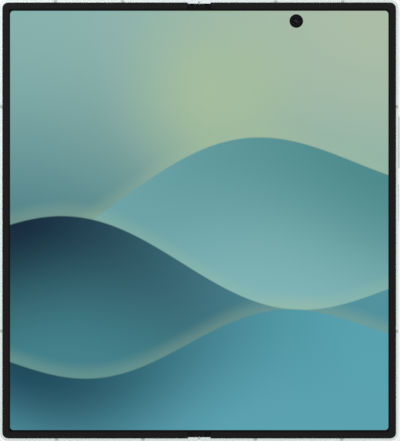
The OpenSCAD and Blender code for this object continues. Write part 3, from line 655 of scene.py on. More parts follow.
@dataclass(frozen=True)
class Metal(Finish):
    """Machined and blasted metal, anodised or bare.

    Attributes:
        color: Colour of the surface.
        worn: Colour of rubbed edges.
        grain_shade: Colour of the painted shade in the grain's hollows.
        dust: Colour of dust.
        pocket_shade_color: Near-black colour of the painted shade in the hinge pockets, standing in for the
            shade of the gap there.
        metallic: Share of bare metal in the surface.
        roughness: Middle of the roughness.
        spread: How far the grain spreads the roughness.
        grain_scale: Fineness of the grain.
        grain_depth: Strength of the grain's bump.
        stretch: Fineness of the grain along each axis, as a factor.
        wear_radius: Width of rubbed edges.
        wear: Strength of rubbed edges.
        grain_shade_share: Strength of the painted shade in the hollows.
        dusted: Strength of dust.
        pocket_shaded: Whether the hinge pockets in it get the painted shade.
    """

    color: Color = rgb(209, 221, 219)
    worn: Color = rgb(222, 231, 229)
    grain_shade: Color = rgb(150, 158, 158)
    dust: Color = rgb(205, 202, 194)
    pocket_shade_color: Color = rgb(14, 14, 14)
    metallic: float = 0.5
    roughness: float = 0.36
    spread: float = 0.05
    grain_scale: float = 5200.0
    grain_depth: float = 0.02
    stretch: Point = (1.0, 1.0, 1.0)
    wear_radius: float = 0.00018
    wear: float = 0.35
    grain_shade_share: float = 0.03
    dusted: float = 0.12
    pocket_shaded: bool = False

    def shade(self, g: Graph) -> Socket:
        """Builds the surface.

        Args:
            g: Tree of the material.

        Returns:
            Its shader output.
        """
        sizes = {"Scale": self.grain_scale, "Depth": self.grain_depth, "Stretch": self.stretch}
        grain = g.add("ShaderNodeGroup", sizes, node_tree=Effects.grain()).outputs
        wear = g.effect(Effects.edge_wear(), {"Radius": self.wear_radius, "Amount": self.wear})
        color = g.mix(wear, self.color, self.worn)
        # Painted shade: the colour darkens by a small share in the grain's hollows
        color = g.mix(g.step(grain["Value"], 0.3, 0.7, to_high=self.grain_shade_share), color, self.grain_shade)
        color = g.mix(g.effect(Effects.dust(), {"Amount": self.dusted}), color, self.dust)
        metallic: Value = self.metallic
        # Painted shade: in the hinge pockets the metal turns near-black and loses its metal look, standing in
        # for the shade of the gap round the hinge's ends
        if self.pocket_shaded:
            pocket_shade_mask = g.effect(Effects.hinge_pocket_shade())
            color = g.mix(pocket_shade_mask, color, self.pocket_shade_color)
            metallic = g.product(g.math("SUBTRACT", 1.0, pocket_shade_mask), self.metallic)
        return g.principled({
            "Base Color": color,
            "Metallic": metallic,
            "Roughness": g.vary(grain["Value"], self.roughness, self.spread),
            "Normal": grain["Normal"],
        })


@dataclass(frozen=True)
class Plastic(Finish):
    """Moulded plastic with a fine grain.

    Attributes:
        color: Colour of the surface.
        pale: Colour on the grain's heights and on rubbed edges.
        dust: Colour of dust.
        roughness: Middle of the roughness.
        spread: How far the grain spreads the roughness.
        specular: Strength of its gloss.
        grain_scale: Fineness of the grain.
        grain_depth: Strength of the grain's bump.
        height_share: Strength of the pale colour on the grain's heights.
        wear_radius: Width of rubbed edges.
        wear: Strength of rubbed edges.
        dusted: Strength of dust.
    """

    color: Color = rgb(30, 30, 32)
    pale: Color = rgb(52, 52, 54)
    dust: Color = rgb(120, 118, 112)
    roughness: float = 0.55
    spread: float = 0.06
    specular: float = 0.2
    grain_scale: float = 3800.0
    grain_depth: float = 0.2
    height_share: float = 0.18
    wear_radius: float = 0.00015
    wear: float = 0.4
    dusted: float = 0.25

    def shade(self, g: Graph) -> Socket:
        """Builds the surface.

        Args:
            g: Tree of the material.

        Returns:
            Its shader output.
        """
        sizes = {"Scale": self.grain_scale, "Depth": self.grain_depth}
        grain = g.add("ShaderNodeGroup", sizes, node_tree=Effects.grain()).outputs
        wear = g.effect(Effects.edge_wear(), {"Radius": self.wear_radius, "Amount": self.wear})
        color = g.mix(g.step(grain["Value"], 0.3, 0.8, to_high=self.height_share), self.color, self.pale)
        color = g.mix(wear, color, self.pale)
        return g.principled({
            "Base Color": g.mix(g.effect(Effects.dust(), {"Amount": self.dusted}), color, self.dust),
            "Roughness": g.vary(grain["Value"], self.roughness, self.spread),
            "Specular IOR Level": self.specular,
            "Normal": grain["Normal"],
        })


@dataclass(frozen=True)
class Pane(Finish):
    """Polished or etched glass over an opaque coat of colour.

    Attributes:
        color: Colour seen straight on.
        shift: Painted sheen: the lighter colour seen along the glass, where it reflects more.
        sheen_share: Strength of the painted sheen.
        dust: Colour of dust.
        roughness: Roughness of clean glass.
        smudged: Strength of smudges.
        dusted: Strength of dust.
        dust_roughness: What dust adds to the roughness.
        coat: Share of a second gloss layer.
        specular: Strength of its gloss.
    """

    color: Color = rgb(14, 15, 17)
    shift: Color = rgb(20, 24, 30)
    sheen_share: float = 0.8
    dust: Color = rgb(150, 150, 145)
    roughness: float = 0.04
    smudged: float = 0.12
    dusted: float = 0.35
    dust_roughness: float = 0.5
    coat: float = 0.0
    specular: float = 0.5

    def shade(self, g: Graph) -> Socket:
        """Builds the surface.

        Args:
            g: Tree of the material.

        Returns:
            Its shader output.
        """
        marks = g.effect(Effects.smudges(), {"Amount": self.smudged})
        dust = g.effect(Effects.dust(), {"Amount": self.dusted})
        # Painted sheen: the colour turns lighter where the glass is seen along its face
        facing = g.add("ShaderNodeLayerWeight", {"Blend": 0.35}).outputs["Facing"]
        color = g.mix(g.product(facing, self.sheen_share), self.color, self.shift)
        return g.principled({
            "Base Color": g.mix(dust, color, self.dust),
            "Roughness": g.total(marks, self.roughness, g.product(dust, self.dust_roughness)),
            "IOR": 1.5,
            "Specular IOR Level": self.specular,
            "Coat Weight": self.coat,
            "Coat Roughness": 0.08,
        })


@dataclass(frozen=True)
class Screen(Finish):
    """The lit display under its thin cover.

    Attributes:
        picture: The picture that it shows.
        coordinates: What the picture takes its place from.
        brightness: Strength of its light.
        dark: Colour of the cover itself.
        dust: Colour of dust.
        roughness: Roughness of the clean cover.
        specular: Strength of its gloss.
        smudged: Strength of smudges.
        dusted: Strength of dust.
        window: Half of the lit area's width and height.
        window_middle: Middle of the lit area.
        corner: Radius of its corners.
        fade: Width over which its edge fades.
    """

    picture: Wallpaper = Wallpaper()
    coordinates: ScreenCoordinates = ScreenCoordinates.OBJECT
    brightness: float = 0.93
    dark: Color = rgb(2, 2, 2)
    dust: Color = rgb(150, 150, 145)
    roughness: float = 0.06
    specular: float = 0.08
    smudged: float = 0.05
    dusted: float = 0.08
    window: Pair = (67.92, 75.27)
    window_middle: Point = (0.03, 0.0, 0.0)
    corner: float = 1.2
    fade: float = 0.05

    def shade(self, g: Graph) -> Socket:
        """Builds the surface.

        Args:
            g: Tree of the material.

        Returns:
            Its shader output.
        """
        if self.coordinates is ScreenCoordinates.OBJECT:
            source = g.place()
        else:
            source = g.add("ShaderNodeUVMap", uv_map=REST_UV).outputs[0]
        # Input 3 is the factor of the scaling, which turns metres into millimetres
        place = g.add("ShaderNodeVectorMath", {0: source, 3: 1 / MM}, operation="SCALE").outputs[0]
        marks = g.effect(Effects.smudges(), {"Amount": self.smudged})
        dust = g.effect(Effects.dust(), {"Amount": self.dusted})
        _, _, upright = g.split(g.add("ShaderNodeTexCoord").outputs["Normal"])
        front = g.step(g.math("ABSOLUTE", upright), low=0.0, high=0.1)
        return g.principled({
            "Base Color": g.mix(dust, self.dark, self.dust),
            "Roughness": g.total(marks, self.roughness),
            "IOR": 1.5,
            "Specular IOR Level": self.specular,
            "Emission Color": g.effect(self.picture.group(), {"Place": place}, output="Color"),
            "Emission Strength": g.product(self._window(g, place), front, self.brightness),
        })

    def _window(self, g: Graph, place: Socket) -> Socket:
        """Marks the lit area with its round corners.

        Args:
            g: Tree of the material.
            place: Place in millimetres.

        Returns:
            1 inside the lit area and 0 outside.
        """
        inside = g.vector("SUBTRACT", place, self.window_middle).outputs[0]
        x, y, _ = g.split(g.absolute(inside))
        squares = []
        for away, half in zip((x, y), self.window):
            over = g.math("MAXIMUM", g.math("SUBTRACT", away, half - self.corner), 0.0)
            squares.append(g.math("POWER", over, 2.0))
        return g.step(g.math("SQRT", g.total(*squares)), self.corner, self.corner + self.fade, 1.0, 0.0)


@dataclass(frozen=True)
class DarkScreen(Finish):
    """A display that is off, seen through the cover glass.

    Attributes:
        color: Colour between the rows of pixels.
        row: Colour of the rows.
        rows: Fineness of the rows.
        row_share: Strength of the rows.
        roughness: Roughness of the surface.
    """

    color: Color = rgb(11, 12, 14)
    row: Color = rgb(18, 19, 24)
    rows: float = 3200.0
    row_share: float = 0.5
    roughness: float = 0.2

    def shade(self, g: Graph) -> Socket:
        """Builds the surface.

        Args:
            g: Tree of the material.

        Returns:
            Its shader output.
        """
        rows = g.product(g.stripes(g.place(), self.rows, Axis.X), self.row_share)
        return g.principled({"Base Color": g.mix(rows, self.color, self.row), "Roughness": self.roughness})


@dataclass(frozen=True)
class SolderMask(Finish):
    """Circuit board with faint tracks under the solder mask.

    Attributes:
        color: Colour of the mask.
        track: Colour of the mask over a track.
        pad: Colour of bare pads.
        tracks: Fineness of the tracks.
        track_gap: Gap between two tracks, as a share.
        pads: Fineness of the pads' scatter.
        roughness: Roughness of the surface.
        coat: Share of its gloss layer.
    """

    color: Color = rgb(12, 62, 44)
    track: Color = rgb(20, 84, 60)
    pad: Color = rgb(190, 160, 90)
    tracks: float = 420.0
    track_gap: float = 0.08
    pads: float = 700.0
    roughness: float = 0.35
    coat: float = 0.4

    def shade(self, g: Graph) -> Socket:
        """Builds the surface.

        Args:
            g: Tree of the material.

        Returns:
            Its shader output.
        """
        place = g.place()
        brick = {"Vector": place, "Scale": self.tracks, "Mortar Size": self.track_gap}
        tracks = g.add("ShaderNodeTexBrick", brick).outputs["Fac"]
        pads = g.step(g.scatter(place, self.pads), low=0.12, high=0.16, to_low=1.0, to_high=0.0)
        color = g.mix(pads, g.mix(tracks, self.color, self.track), self.pad)
        return g.principled({"Base Color": color, "Roughness": self.roughness, "Coat Weight": self.coat})


@dataclass(frozen=True)
class Foil(Finish):
    """Thin film or wrap, with fine stripes below the surface.

    Attributes:
        color: Colour of the film.
        stripe: Colour of the stripes.
        fineness: Fineness of the stripes.
        axis: Axis that the stripes follow each other along.
        roughness: Roughness of the clean film.
        smudged: Strength of smudges.
        smudge_scale: Fineness of smudges.
        coat: Share of its gloss layer.
    """

    color: Color = rgb(40, 40, 43)
    stripe: Color = rgb(56, 56, 60)
    fineness: float = 400.0
    axis: Axis = Axis.Y
    roughness: float = 0.4
    smudged: float = 0.2
    smudge_scale: float = 120.0
    coat: float = 0.3

    def shade(self, g: Graph) -> Socket:
        """Builds the surface.

        Args:
            g: Tree of the material.

        Returns:
            Its shader output.
        """
        stripes = g.step(g.stripes(g.place(), self.fineness, self.axis), low=0.6, high=0.9)
        marks = g.effect(Effects.smudges(), {"Amount": self.smudged, "Scale": self.smudge_scale})
        return g.principled({
            "Base Color": g.mix(stripes, self.color, self.stripe),
            "Roughness": g.total(marks, self.roughness),
            "Coat Weight": self.coat,
        })


@dataclass(frozen=True)
class ClearLens(Finish):
    """Clear glass drawn as a thin layer: it reflects by angle and lets the rest pass.

    Attributes:
        tint: Colour of the light that passes.
        reflection: Strength of its reflection.
        roughness: Roughness of the clean glass.
        smudged: Strength of smudges.
        smudge_scale: Fineness of smudges.
    """

    tint: Color = (0.93, 0.95, 0.97, 1.0)
    reflection: float = 0.22
    roughness: float = 0.03
    smudged: float = 0.08
    smudge_scale: float = 90.0

    def shade(self, g: Graph) -> Socket:
        """Builds the surface.

        Args:
            g: Tree of the material.

        Returns:
            Its shader output.
        """
        fresnel = g.add("ShaderNodeFresnel", {"IOR": 1.5}).outputs[0]
        marks = g.effect(Effects.smudges(), {"Amount": self.smudged, "Scale": self.smudge_scale})
        clear = g.add("ShaderNodeBsdfTransparent", {"Color": self.tint}).outputs[0]
        gloss = g.add("ShaderNodeBsdfAnisotropic", {"Roughness": g.total(marks, self.roughness)})
        return g.blend(g.product(fresnel, self.reflection), clear, gloss.outputs[0])


@dataclass(frozen=True)
class CoatedLens(Finish):
    """A lens element whose coating shifts in colour with the angle.

    Attributes:
        straight: Colour seen straight on.
        grazing: Colour seen along the surface.
        coat_tint: Tint of the coating.
        coat: Share of the coating.
        patches: Fineness of the coating's uneven patches.
        uneven: How far the patches shift the colour.
    """

    straight: Color = rgb(10, 9, 18)
    grazing: Color = rgb(26, 60, 70)
    coat_tint: Color = rgb(170, 180, 255)
    coat: float = 0.6
    patches: float = 130.0
    uneven: float = 0.08

    def shade(self, g: Graph) -> Socket:
        """Builds the surface.

        Args:
            g: Tree of the material.

        Returns:
            Its shader output.
        """
        facing = g.add("ShaderNodeLayerWeight", {"Blend": 0.45}).outputs["Facing"]
        patches = g.noise(g.place(), self.patches, detail=1.0)
        shift = g.total(facing, g.step(patches, 0.3, 0.7, -self.uneven, self.uneven))
        return g.principled({
            "Base Color": g.mix(shift, self.straight, self.grazing),
            "Roughness": 0.03,
            "IOR": 1.7,
            "Coat Weight": self.coat,
            "Coat Tint": self.coat_tint,
        })


@dataclass(frozen=True)
class Diffuser(Finish):
    """Clear cover of the flash over its warm phosphor.

    Attributes:
        color: Colour of the phosphor's grains.
        deep: Colour between the grains.
        grains: Fineness of the grains.
        depth: How far light goes into it.
    """

    color: Color = rgb(246, 238, 196)
    deep: Color = rgb(236, 214, 140)
    grains: float = 2600.0
    depth: float = 0.0005

    def shade(self, g: Graph) -> Socket:
        """Builds the surface.

        Args:
            g: Tree of the material.

        Returns:
            Its shader output.
        """
        between = g.step(g.scatter(g.place(), self.grains), low=0.1, high=0.5)
        return g.principled({
            "Base Color": g.mix(between, self.color, self.deep),
            "Roughness": 0.18,
            "Subsurface Weight": 0.3,
            "Subsurface Scale": self.depth,
            "Coat Weight": 0.8,
        })


FRAME_METAL = Metal("pale_anodised_metal", roughness=0.45, wear=0.2, pocket_shaded=True)
SPINE_METAL = Metal("spine_metal", color=rgb(192, 208, 203), roughness=0.3, pocket_shaded=True)
ISLAND_METAL = Metal("island_metal", color=rgb(188, 205, 199), roughness=0.34)
PLATE_METAL = Metal(
    "plate_metal", color=rgb(150, 152, 155), metallic=0.9, roughness=0.45, stretch=(1.0, 0.08, 1.0)
)
STEEL = Metal(
    "hinge_steel", color=rgb(186, 188, 192), metallic=1.0, roughness=0.28, stretch=(1.0, 0.1, 1.0)
)
BLACK_STEEL = Metal(
    "blackened_steel", color=rgb(40, 40, 42), worn=rgb(70, 70, 72), metallic=0.8, wear=0.1
)
WINDING = Metal("copper_winding", color=rgb(196, 122, 72), metallic=1.0, roughness=0.3, wear=0.1)
GOLD = Metal("gold_contacts", color=rgb(226, 186, 96), metallic=1.0, roughness=0.22, wear=0.1)
WIRE = Metal("sound_mesh_wire", color=rgb(70, 72, 74), metallic=0.8, roughness=0.4, wear=0.0)
BREAK_PLASTIC = Plastic(
    "break_plastic", color=rgb(190, 203, 200), pale=rgb(200, 211, 208), roughness=0.5
)
BEZEL_PLASTIC = Plastic(
    "bezel_plastic", color=rgb(18, 18, 18), pale=rgb(24, 24, 24), specular=0.08, grain_depth=0.06
)
HINGE_BLACK = Plastic(
    "hinge_black", color=rgb(7, 6, 6), pale=rgb(13, 12, 12), specular=0.08, grain_depth=0.06
)
CAMERA_BLACK = Plastic(
    "camera_black", color=rgb(3, 3, 4), pale=rgb(6, 6, 7), specular=0.08, grain_depth=0.05
)
CHIP = Plastic("chip_resin", color=rgb(24, 24, 26), pale=rgb(40, 40, 42), roughness=0.5)
DARK_GLASS = Pane("dark_glass", specular=0.3)
COATED_PRINT = Pane(
    "coated_print", color=rgb(7, 7, 8), shift=rgb(12, 13, 16), smudged=0.05, specular=0.1
)
BACK_GLASS = Pane(
    "etched_back_glass", color=rgb(198, 216, 210), shift=rgb(222, 233, 230), roughness=0.36,
    smudged=0.06, coat=0.1,
)
SCREEN = Screen("lit_display")
FOLD_SCREEN = Screen("lit_display_over_fold", coordinates=ScreenCoordinates.REST_UV)
COVER_SCREEN = DarkScreen("cover_display")
BOARD = SolderMask("solder_mask")
CELL_WRAP = Foil("cell_wrap")
CABLE_FILM = Foil(
    "cable_film", color=rgb(176, 104, 30), stripe=rgb(150, 82, 22), fineness=900.0, roughness=0.25
)
FLASH = Diffuser("flash_diffuser")
CLEAR_LENS = ClearLens("clear_lens")
COATED_WINDOW = ClearLens("coated_window", tint=(0.66, 0.66, 0.68, 1.0), reflection=0.18)
COATED_LENS = CoatedLens("coated_lens")

SLOT_FINISHES: dict[str, Finish] = {
    "frame_metal": FRAME_METAL,
    "break_plastic": BREAK_PLASTIC,
    "plate_metal": PLATE_METAL,
    "bezel_plastic": BEZEL_PLASTIC,
    "display": SCREEN,
    "dark_glass": DARK_GLASS,
    "back_glass": BACK_GLASS,
    "island_metal": ISLAND_METAL,
    "camera_black": CAMERA_BLACK,
    "flash_plastic": FLASH,
    "board": BOARD,
    "cell_wrap": CELL_WRAP,
    "coil_copper": WINDING,
    "steel": STEEL,
    "spine_metal": SPINE_METAL,
    "flex_film": CABLE_FILM,
}
NODE_FINISHES: dict[str, Finish] = {
    "cover_display": COVER_SCREEN,
    "hinge_end_blocks": HINGE_BLACK,
    "pivot_pins": BLACK_STEEL,
}


def dress_cad_nodes() -> None:
    """Gives every CAD node the finish of its material slot, or its own where it has one."""
    slots = {part["node"]: part["material_slot"] for part in frame["record"]["subparts"]}
    for name, node in frame["nodes"].items():
        finish = NODE_FINISHES.get(name) or SLOT_FINISHES[slots[name]]
        for place in node.material_slots:
            place.link = "OBJECT"
            place.material = finish.material()
        LOG.info("%s wears %s", name, finish.name)


# ---------------------------------------------------------------------------
# Pieces that bend, and cameras
# ---------------------------------------------------------------------------


def in_scene(name: str, data: bpy.types.ID) -> bpy.types.Object:
    """Puts data into the scene.

    Args:
        name: Name of the new object.
        data: Its mesh, light or camera.

    Returns:
        The object, at the origin.
    """
    made = bpy.data.objects.new(name, data)
    bpy.context.scene.collection.objects.link(made)
    return made


def as_object(
    name: str, bm: bmesh.types.BMesh, finish: Finish, sharp_deg: float = 35.0
) -> bpy.types.Object:
    """Turns a built mesh into an object with outward faces and smooth shading.

    Args:
        name: Name of the object.
        bm: The mesh in millimetres; it is freed.
        finish: Finish of the piece.
        sharp_deg: Edges steeper than this stay sharp.

    Returns:
        The object at the origin, in metres.
    """
    bmesh.ops.remove_doubles(bm, verts=bm.verts, dist=WELD_DISTANCE)
    bmesh.ops.recalc_face_normals(bm, faces=bm.faces)
    bmesh.ops.transform(bm, matrix=Matrix.Scale(MM, 4), verts=bm.verts)
    mesh = bpy.data.meshes.new(name)
    bm.to_mesh(mesh)
    bm.free()
    mesh.materials.append(finish.material())
    mesh.polygons.foreach_set("use_smooth", [True] * len(mesh.polygons))
    mesh.set_sharp_from_angle(angle=math.radians(sharp_deg))
    return in_scene(name, mesh)


def lathe(
    bm: bmesh.types.BMesh, profile: Sequence[Pair], top: Point, facing: Facing, steps: int
) -> None:
    """Turns a closed profile about an upright axis into a closed mesh.

    Args:
        bm: Mesh that takes the faces.
        profile: Radius and depth of each point; the ends join through the axis or each other.
        top: Point of the axis at depth 0.
        facing: Side that depth is measured from.
        steps: Points round the axis.
    """
    x, y, z = top
    turns = [2 * math.pi * i / steps for i in range(steps)]
    rings = []
    for radius, depth in profile:
        around = [(radius * math.cos(a), radius * math.sin(a)) for a in turns]
        if radius < TINY:
            around = [(0.0, 0.0)]
        rings.append([bm.verts.new((x + dx, y + dy, z - facing.value * depth)) for dx, dy in around])
    pairs = list(zip(rings, rings[1:]))
    if len(rings[0]) > 1 and len(rings[-1]) > 1:
        pairs.append((rings[-1], rings[0]))
    for near, far in pairs:
        for i in range(steps):
            j = (i + 1) % steps
            corners = [near[i % len(near)], near[j % len(near)], far[j % len(far)], far[i % len(far)]]
            unique = list(dict.fromkeys(corners))
            if len(unique) > 2:
                bm.faces.new(unique)


class Assembly(ABC):
    """A group of pieces that are built together."""

    @abstractmethod
    def build(self) -> list[bpy.types.Object]:
        """Builds the pieces.

        Returns:
            The pieces.
        """


@dataclass(frozen=True)
class FoldDisplay(Assembly):
    """The two strips of the display that bend as the phone folds.

    Attributes:
        reach: Width of each strip from the seam.
        columns: Faces across one strip.
        narrow_end: Half of its length beside the hinge's end blocks.
        wide_end: Half of its length under the bezels.
        wide_from: Where the bezels begin.
        least_column: Columns nearer than this to wide_from give way to it.
        row_height: Greatest height of a face.
    """

    reach: float = 6.6
    columns: int = 48
    narrow_end: float = 75.91
    wide_end: float = 77.0
    wide_from: float = 4.15
    least_column: float = 0.05
    row_height: float = 6.3

    def build(self) -> list[bpy.types.Object]:
        """Builds both strips and hides the CAD strips that they stand for.

        Returns:
            The two strips.
        """
        made = []
        for side in Side:
            strip = self._strip(side)
            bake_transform(strip)
            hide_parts(f"display_fold_{side.label}")
            made.append(strip)
        return made

    def _strip(self, side: Side) -> bpy.types.Object:
        """Builds one strip with its rest place kept as a UV map.

        Args:
            side: Half that the strip runs into.

        Returns:
            The strip.
        """
        bm = bmesh.new()
        layer = bm.loops.layers.uv.new(REST_UV)
        plain = (self.reach * i / self.columns for i in range(self.columns + 1))
        kept = {round(x, 6) for x in plain if abs(x - self.wide_from) > self.least_column}
        xs = sorted(kept | {self.wide_from})
        rows = math.ceil(2 * self.narrow_end / self.row_height)
        inner = [-self.narrow_end + 2 * self.narrow_end * i / rows for i in range(rows + 1)]
        ys = [-self.wide_end, *inner, self.wide_end]
        grid = [[bm.verts.new((side.value * x, y, DISPLAY_TOP)) for y in ys] for x in xs]
        faces = []
        for i in range(len(xs) - 1):
            wide = xs[i] >= self.wide_from - TINY
            for j in range(len(ys) - 1):
                if wide or 0 < j < len(ys) - 2:
                    corners = (grid[i][j], grid[i + 1][j], grid[i + 1][j + 1], grid[i][j + 1])
                    faces.append(bm.faces.new(corners))
        bmesh.ops.delete(bm, geom=[v for v in bm.verts if not v.link_faces], context="VERTS")
        rims = [edge.verts[:] for edge in bm.edges if edge.is_boundary]
        below = {v: bm.verts.new((*v.co.xy, DISPLAY_TOP - DISPLAY_THICKNESS)) for v in list(bm.verts)}
        for face in faces:
            bm.faces.new([below[v] for v in reversed(face.verts)])
        for a, b in rims:
            bm.faces.new((a, b, below[b], below[a]))
        for face in bm.faces:
            for loop in face.loops:
                loop[layer].uv = (loop.vert.co.x * MM, loop.vert.co.y * MM)
        return as_object(f"fold_display_{side.label}", bm, FOLD_SCREEN)


@dataclass(frozen=True)
class RibbonCables(Assembly):
    """The ribbon cables that cross the hinge, one stretch of each per half.

    Attributes:
        path: Middle line of a ribbon, across and height above the phone's back.
        lanes: Places of the ribbons along the fold.
        width: Width of a ribbon.
        thickness: Thickness of a ribbon.
        rounds: How often the corners of the line are cut.
        cut: Share of a side that each cut takes off at both ends.
        step: Length of a face along the ribbon.
        bend: Where the bend starts and ends, across; not used.
    """

    path: tuple[Pair, ...] = (
        (0.0, 1.16), (1.17, 1.16), (3.2, 2.64), (4.06, 2.72), (4.16, 1.46), (5.8, 1.46), (11.6, 1.46)
    )
    lanes: tuple[float, ...] = (-25.0, 25.0)
    width: float = 8.0
    thickness: float = 0.08
    rounds: int = 2
    cut: float = 0.25
    step: float = 0.1
    bend: Pair = (3.3, 4.4)

    def build(self) -> list[bpy.types.Object]:
        """Builds the ribbons, one piece per half, and hides the CAD flex cables that they stand for.

        Returns:
            One piece per half.
        """
        made = []
        for side in Side:
            bm = bmesh.new()
            for lane in self.lanes:
                self._ribbon(bm, side, lane)
            piece = as_object(f"ribbon_cables_{side.label}", bm, CABLE_FILM)
            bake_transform(piece)
            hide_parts(f"{side.label}_hinge_flex")
            made.append(piece)
        return made

    def _line(self) -> list[Vector]:
        """Cuts the corners of the middle line round and steps it evenly.

        Returns:
            The points of the line on the right half.
        """
        points = [Vector((x, 0.0, z + BACK_Z)) for x, z in self.path]
        for _ in range(self.rounds):
            rounded = [points[0]]
            for a, b in zip(points, points[1:]):
                rounded += [a.lerp(b, self.cut), a.lerp(b, 1 - self.cut)]
            points = [*rounded, points[-1]]
        even = [points[0]]
        for a, b in zip(points, points[1:]):
            count = max(1, round((b - a).length / self.step))
            even += [a.lerp(b, (i + 1) / count) for i in range(count)]
        return even

    def _ribbon(self, bm: bmesh.types.BMesh, side: Side, lane: float) -> None:
        """Adds one ribbon as a closed band.

        Args:
            bm: Mesh that takes it.
            side: Half that the ribbon runs into.
            lane: Its place along the fold.
        """
        line = self._line()
        sections = []
        for i, point in enumerate(line):
            along = (line[min(i + 1, len(line) - 1)] - line[max(i - 1, 0)]).normalized()
            off = Vector((-along.z, 0.0, along.x)) * self.thickness / 2
            corners = []
            for across, lift in ((-1, -1), (1, -1), (1, 1), (-1, 1)):
                spot = point + off * lift
                corners.append(bm.verts.new((side.value * spot.x, lane + across * self.width / 2, spot.z)))
            sections.append(corners)
        for a, b in zip(sections, sections[1:]):
            for k in range(4):
                bm.faces.new((a[k], a[(k + 1) % 4], b[(k + 1) % 4], b[k]))
        bm.faces.new(sections[0])
        bm.faces.new(sections[-1])


@dataclass(frozen=True)
class PhoneCamera(Assembly):
    """A camera behind its window: clear window, black print, stepped barrel, front element.

    Attributes:
        name: Start of the names of its pieces.
        centres: Middle of each camera of this kind.
        window_z: Outer face of the window.
        facing: Direction that the cameras look in.
        window_r: Radius of the window with its print.
        window_t: Thickness of the window.
        opening_r: Radius of the clear middle of the window.
        mask_r: Inner radius of the black mask under the window.
        well: Radius and depth of each step of the barrel, outside in.
        outer_r: Outer radius of the barrel.
        depth: Depth of the whole barrel.
        element_r: Radius of the front element.
        body: CAD body that carries the cameras.
        replaced: CAD nodes that the cameras stand for.
        glass: Finish of the clear windows.
        holder: Width, start and end of each square block behind the barrel, in depth.
        bevel: Bevel round the window.
        gap: Gap between window and barrel.
        ledge: Width and rise of the slope at each step of the barrel.
        floor_drop: Drop from the last step to the floor of the well.
        element_drop: Drop from the last step to the edge of the element.
        dome: Height of the element's dome, as a share of its radius.
        dome_steps: Faces from the middle to the edge of the dome.
        element_t: Thickness of the element at its edge.
        holder_bevel: Bevel of the square blocks.
        sharp_deg: Edges steeper than this stay sharp.
        steps: Faces round a camera.
        element_steps: Faces round its front element.
    """

    name: str
    centres: tuple[Pair, ...]
    window_z: float
    facing: Facing
    window_r: float
    window_t: float
    opening_r: float
    mask_r: float
    well: tuple[Pair, ...]
    outer_r: float
    depth: float
    element_r: float
    body: str
    replaced: tuple[str, ...]
    glass: Finish = CLEAR_LENS
    holder: tuple[tuple[float, float, float], ...] = ()
    bevel: float = 0.06
    gap: float = 0.02
    ledge: Pair = (0.18, 0.12)
    floor_drop: float = 0.25
    element_drop: float = 0.05
    dome: float = 0.275
    dome_steps: int = 8
    element_t: float = 0.15
    holder_bevel: float = 0.12
    sharp_deg: float = 30.0
    steps: int = 72
    element_steps: int = 48

    def build(self) -> list[bpy.types.Object]:
        """Builds the pieces of all cameras of this kind.

        Returns:
            The window, barrel, element and print.
        """
        parts = (
            ("window", self.glass, self._window, "dark_glass"),
            ("barrel", CAMERA_BLACK, self._barrel, "camera_black"),
            ("element", COATED_LENS, self._element, "dark_glass"),
            ("print", COATED_PRINT, self._print, "dark_glass"),
        )
        made = []
        for role, finish, draw, slot in parts:
            bm = bmesh.new()
            for centre in self.centres:
                draw(bm, centre)
            piece = as_object(f"{self.name}_{role}", bm, finish, self.sharp_deg)
            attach(piece, self.body)
            if role == "barrel":
                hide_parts(*self.replaced)
            made.append(piece)
        return made

    def _turn(
        self, bm: bmesh.types.BMesh, centre: Pair, profile: Sequence[Pair], steps: int | None = None
    ) -> None:
        """Adds a shape turned about the middle of a camera, its depth from the window's face."""
        lathe(bm, profile, (*centre, self.window_z), self.facing, steps or self.steps)

    def _window(self, bm: bmesh.types.BMesh, centre: Pair) -> None:
        """Adds the clear middle of the window."""
        radius, thickness = self.opening_r, self.window_t
        self._turn(bm, centre, ((0.0, 0.0), (radius, 0.0), (radius, thickness), (0.0, thickness)))

    def _print(self, bm: bmesh.types.BMesh, centre: Pair) -> None:
        """Adds the ring of glass with the black print, with a small bevel outside.

        Args:
            bm: Mesh that takes it.
            centre: Middle of the camera.
        """
        near, far, thickness = self.opening_r, self.window_r, self.window_t
        outside = ((far - self.bevel, 0.0), (far, self.bevel), (far, thickness))
        self._turn(bm, centre, ((near, 0.0), *outside, (near, thickness)))

    def _barrel(self, bm: bmesh.types.BMesh, centre: Pair) -> None:
        """Adds mask ring, stepped well and back of the barrel, and the blocks behind it.

        Args:
            bm: Mesh that takes them.
            centre: Middle of the camera.
        """
        top = self.window_t + self.gap
        width, rise = self.ledge
        profile = [(0.0, self.depth), (self.outer_r, self.depth), (self.outer_r, top), (self.mask_r, top)]
        for radius, depth in self.well:
            profile += [(radius + width, top + depth - rise), (radius, top + depth)]
        profile.append((0.0, top + self.well[-1][1] + self.floor_drop))
        self._turn(bm, centre, profile)
        for across, start, end in self.holder:
            low, high = sorted(self.window_z - self.facing.value * depth for depth in (start, end))
            block = bmesh.ops.create_cube(bm, size=1.0)["verts"]
            size = Matrix.Diagonal((across, across, high - low, 1.0))
            place = Matrix.Translation((*centre, (low + high) / 2))
            bmesh.ops.transform(bm, matrix=place @ size, verts=block)
            edges = list(dict.fromkeys(edge for corner in block for edge in corner.link_edges))
            bmesh.ops.bevel(
                bm, geom=edges, offset=self.holder_bevel, segments=2, affect="EDGES", profile=0.5
            )

    def _element(self, bm: bmesh.types.BMesh, centre: Pair) -> None:
        """Adds the domed front element at the bottom of the well.

        Args:
            bm: Mesh that takes it.
            centre: Middle of the camera.
        """
        base = self.window_t + self.gap + self.well[-1][1] + self.element_drop
        dome = self.dome * self.element_r
        profile = [(0.0, base - dome)]
        for i in range(1, self.dome_steps + 1):
            a = math.radians(90 * i / self.dome_steps)
            profile.append((self.element_r * math.sin(a), base - dome * math.cos(a)))
        profile += [(self.element_r, base + self.element_t), (0.0, base + self.element_t)]
        self._turn(bm, centre, profile, self.element_steps)


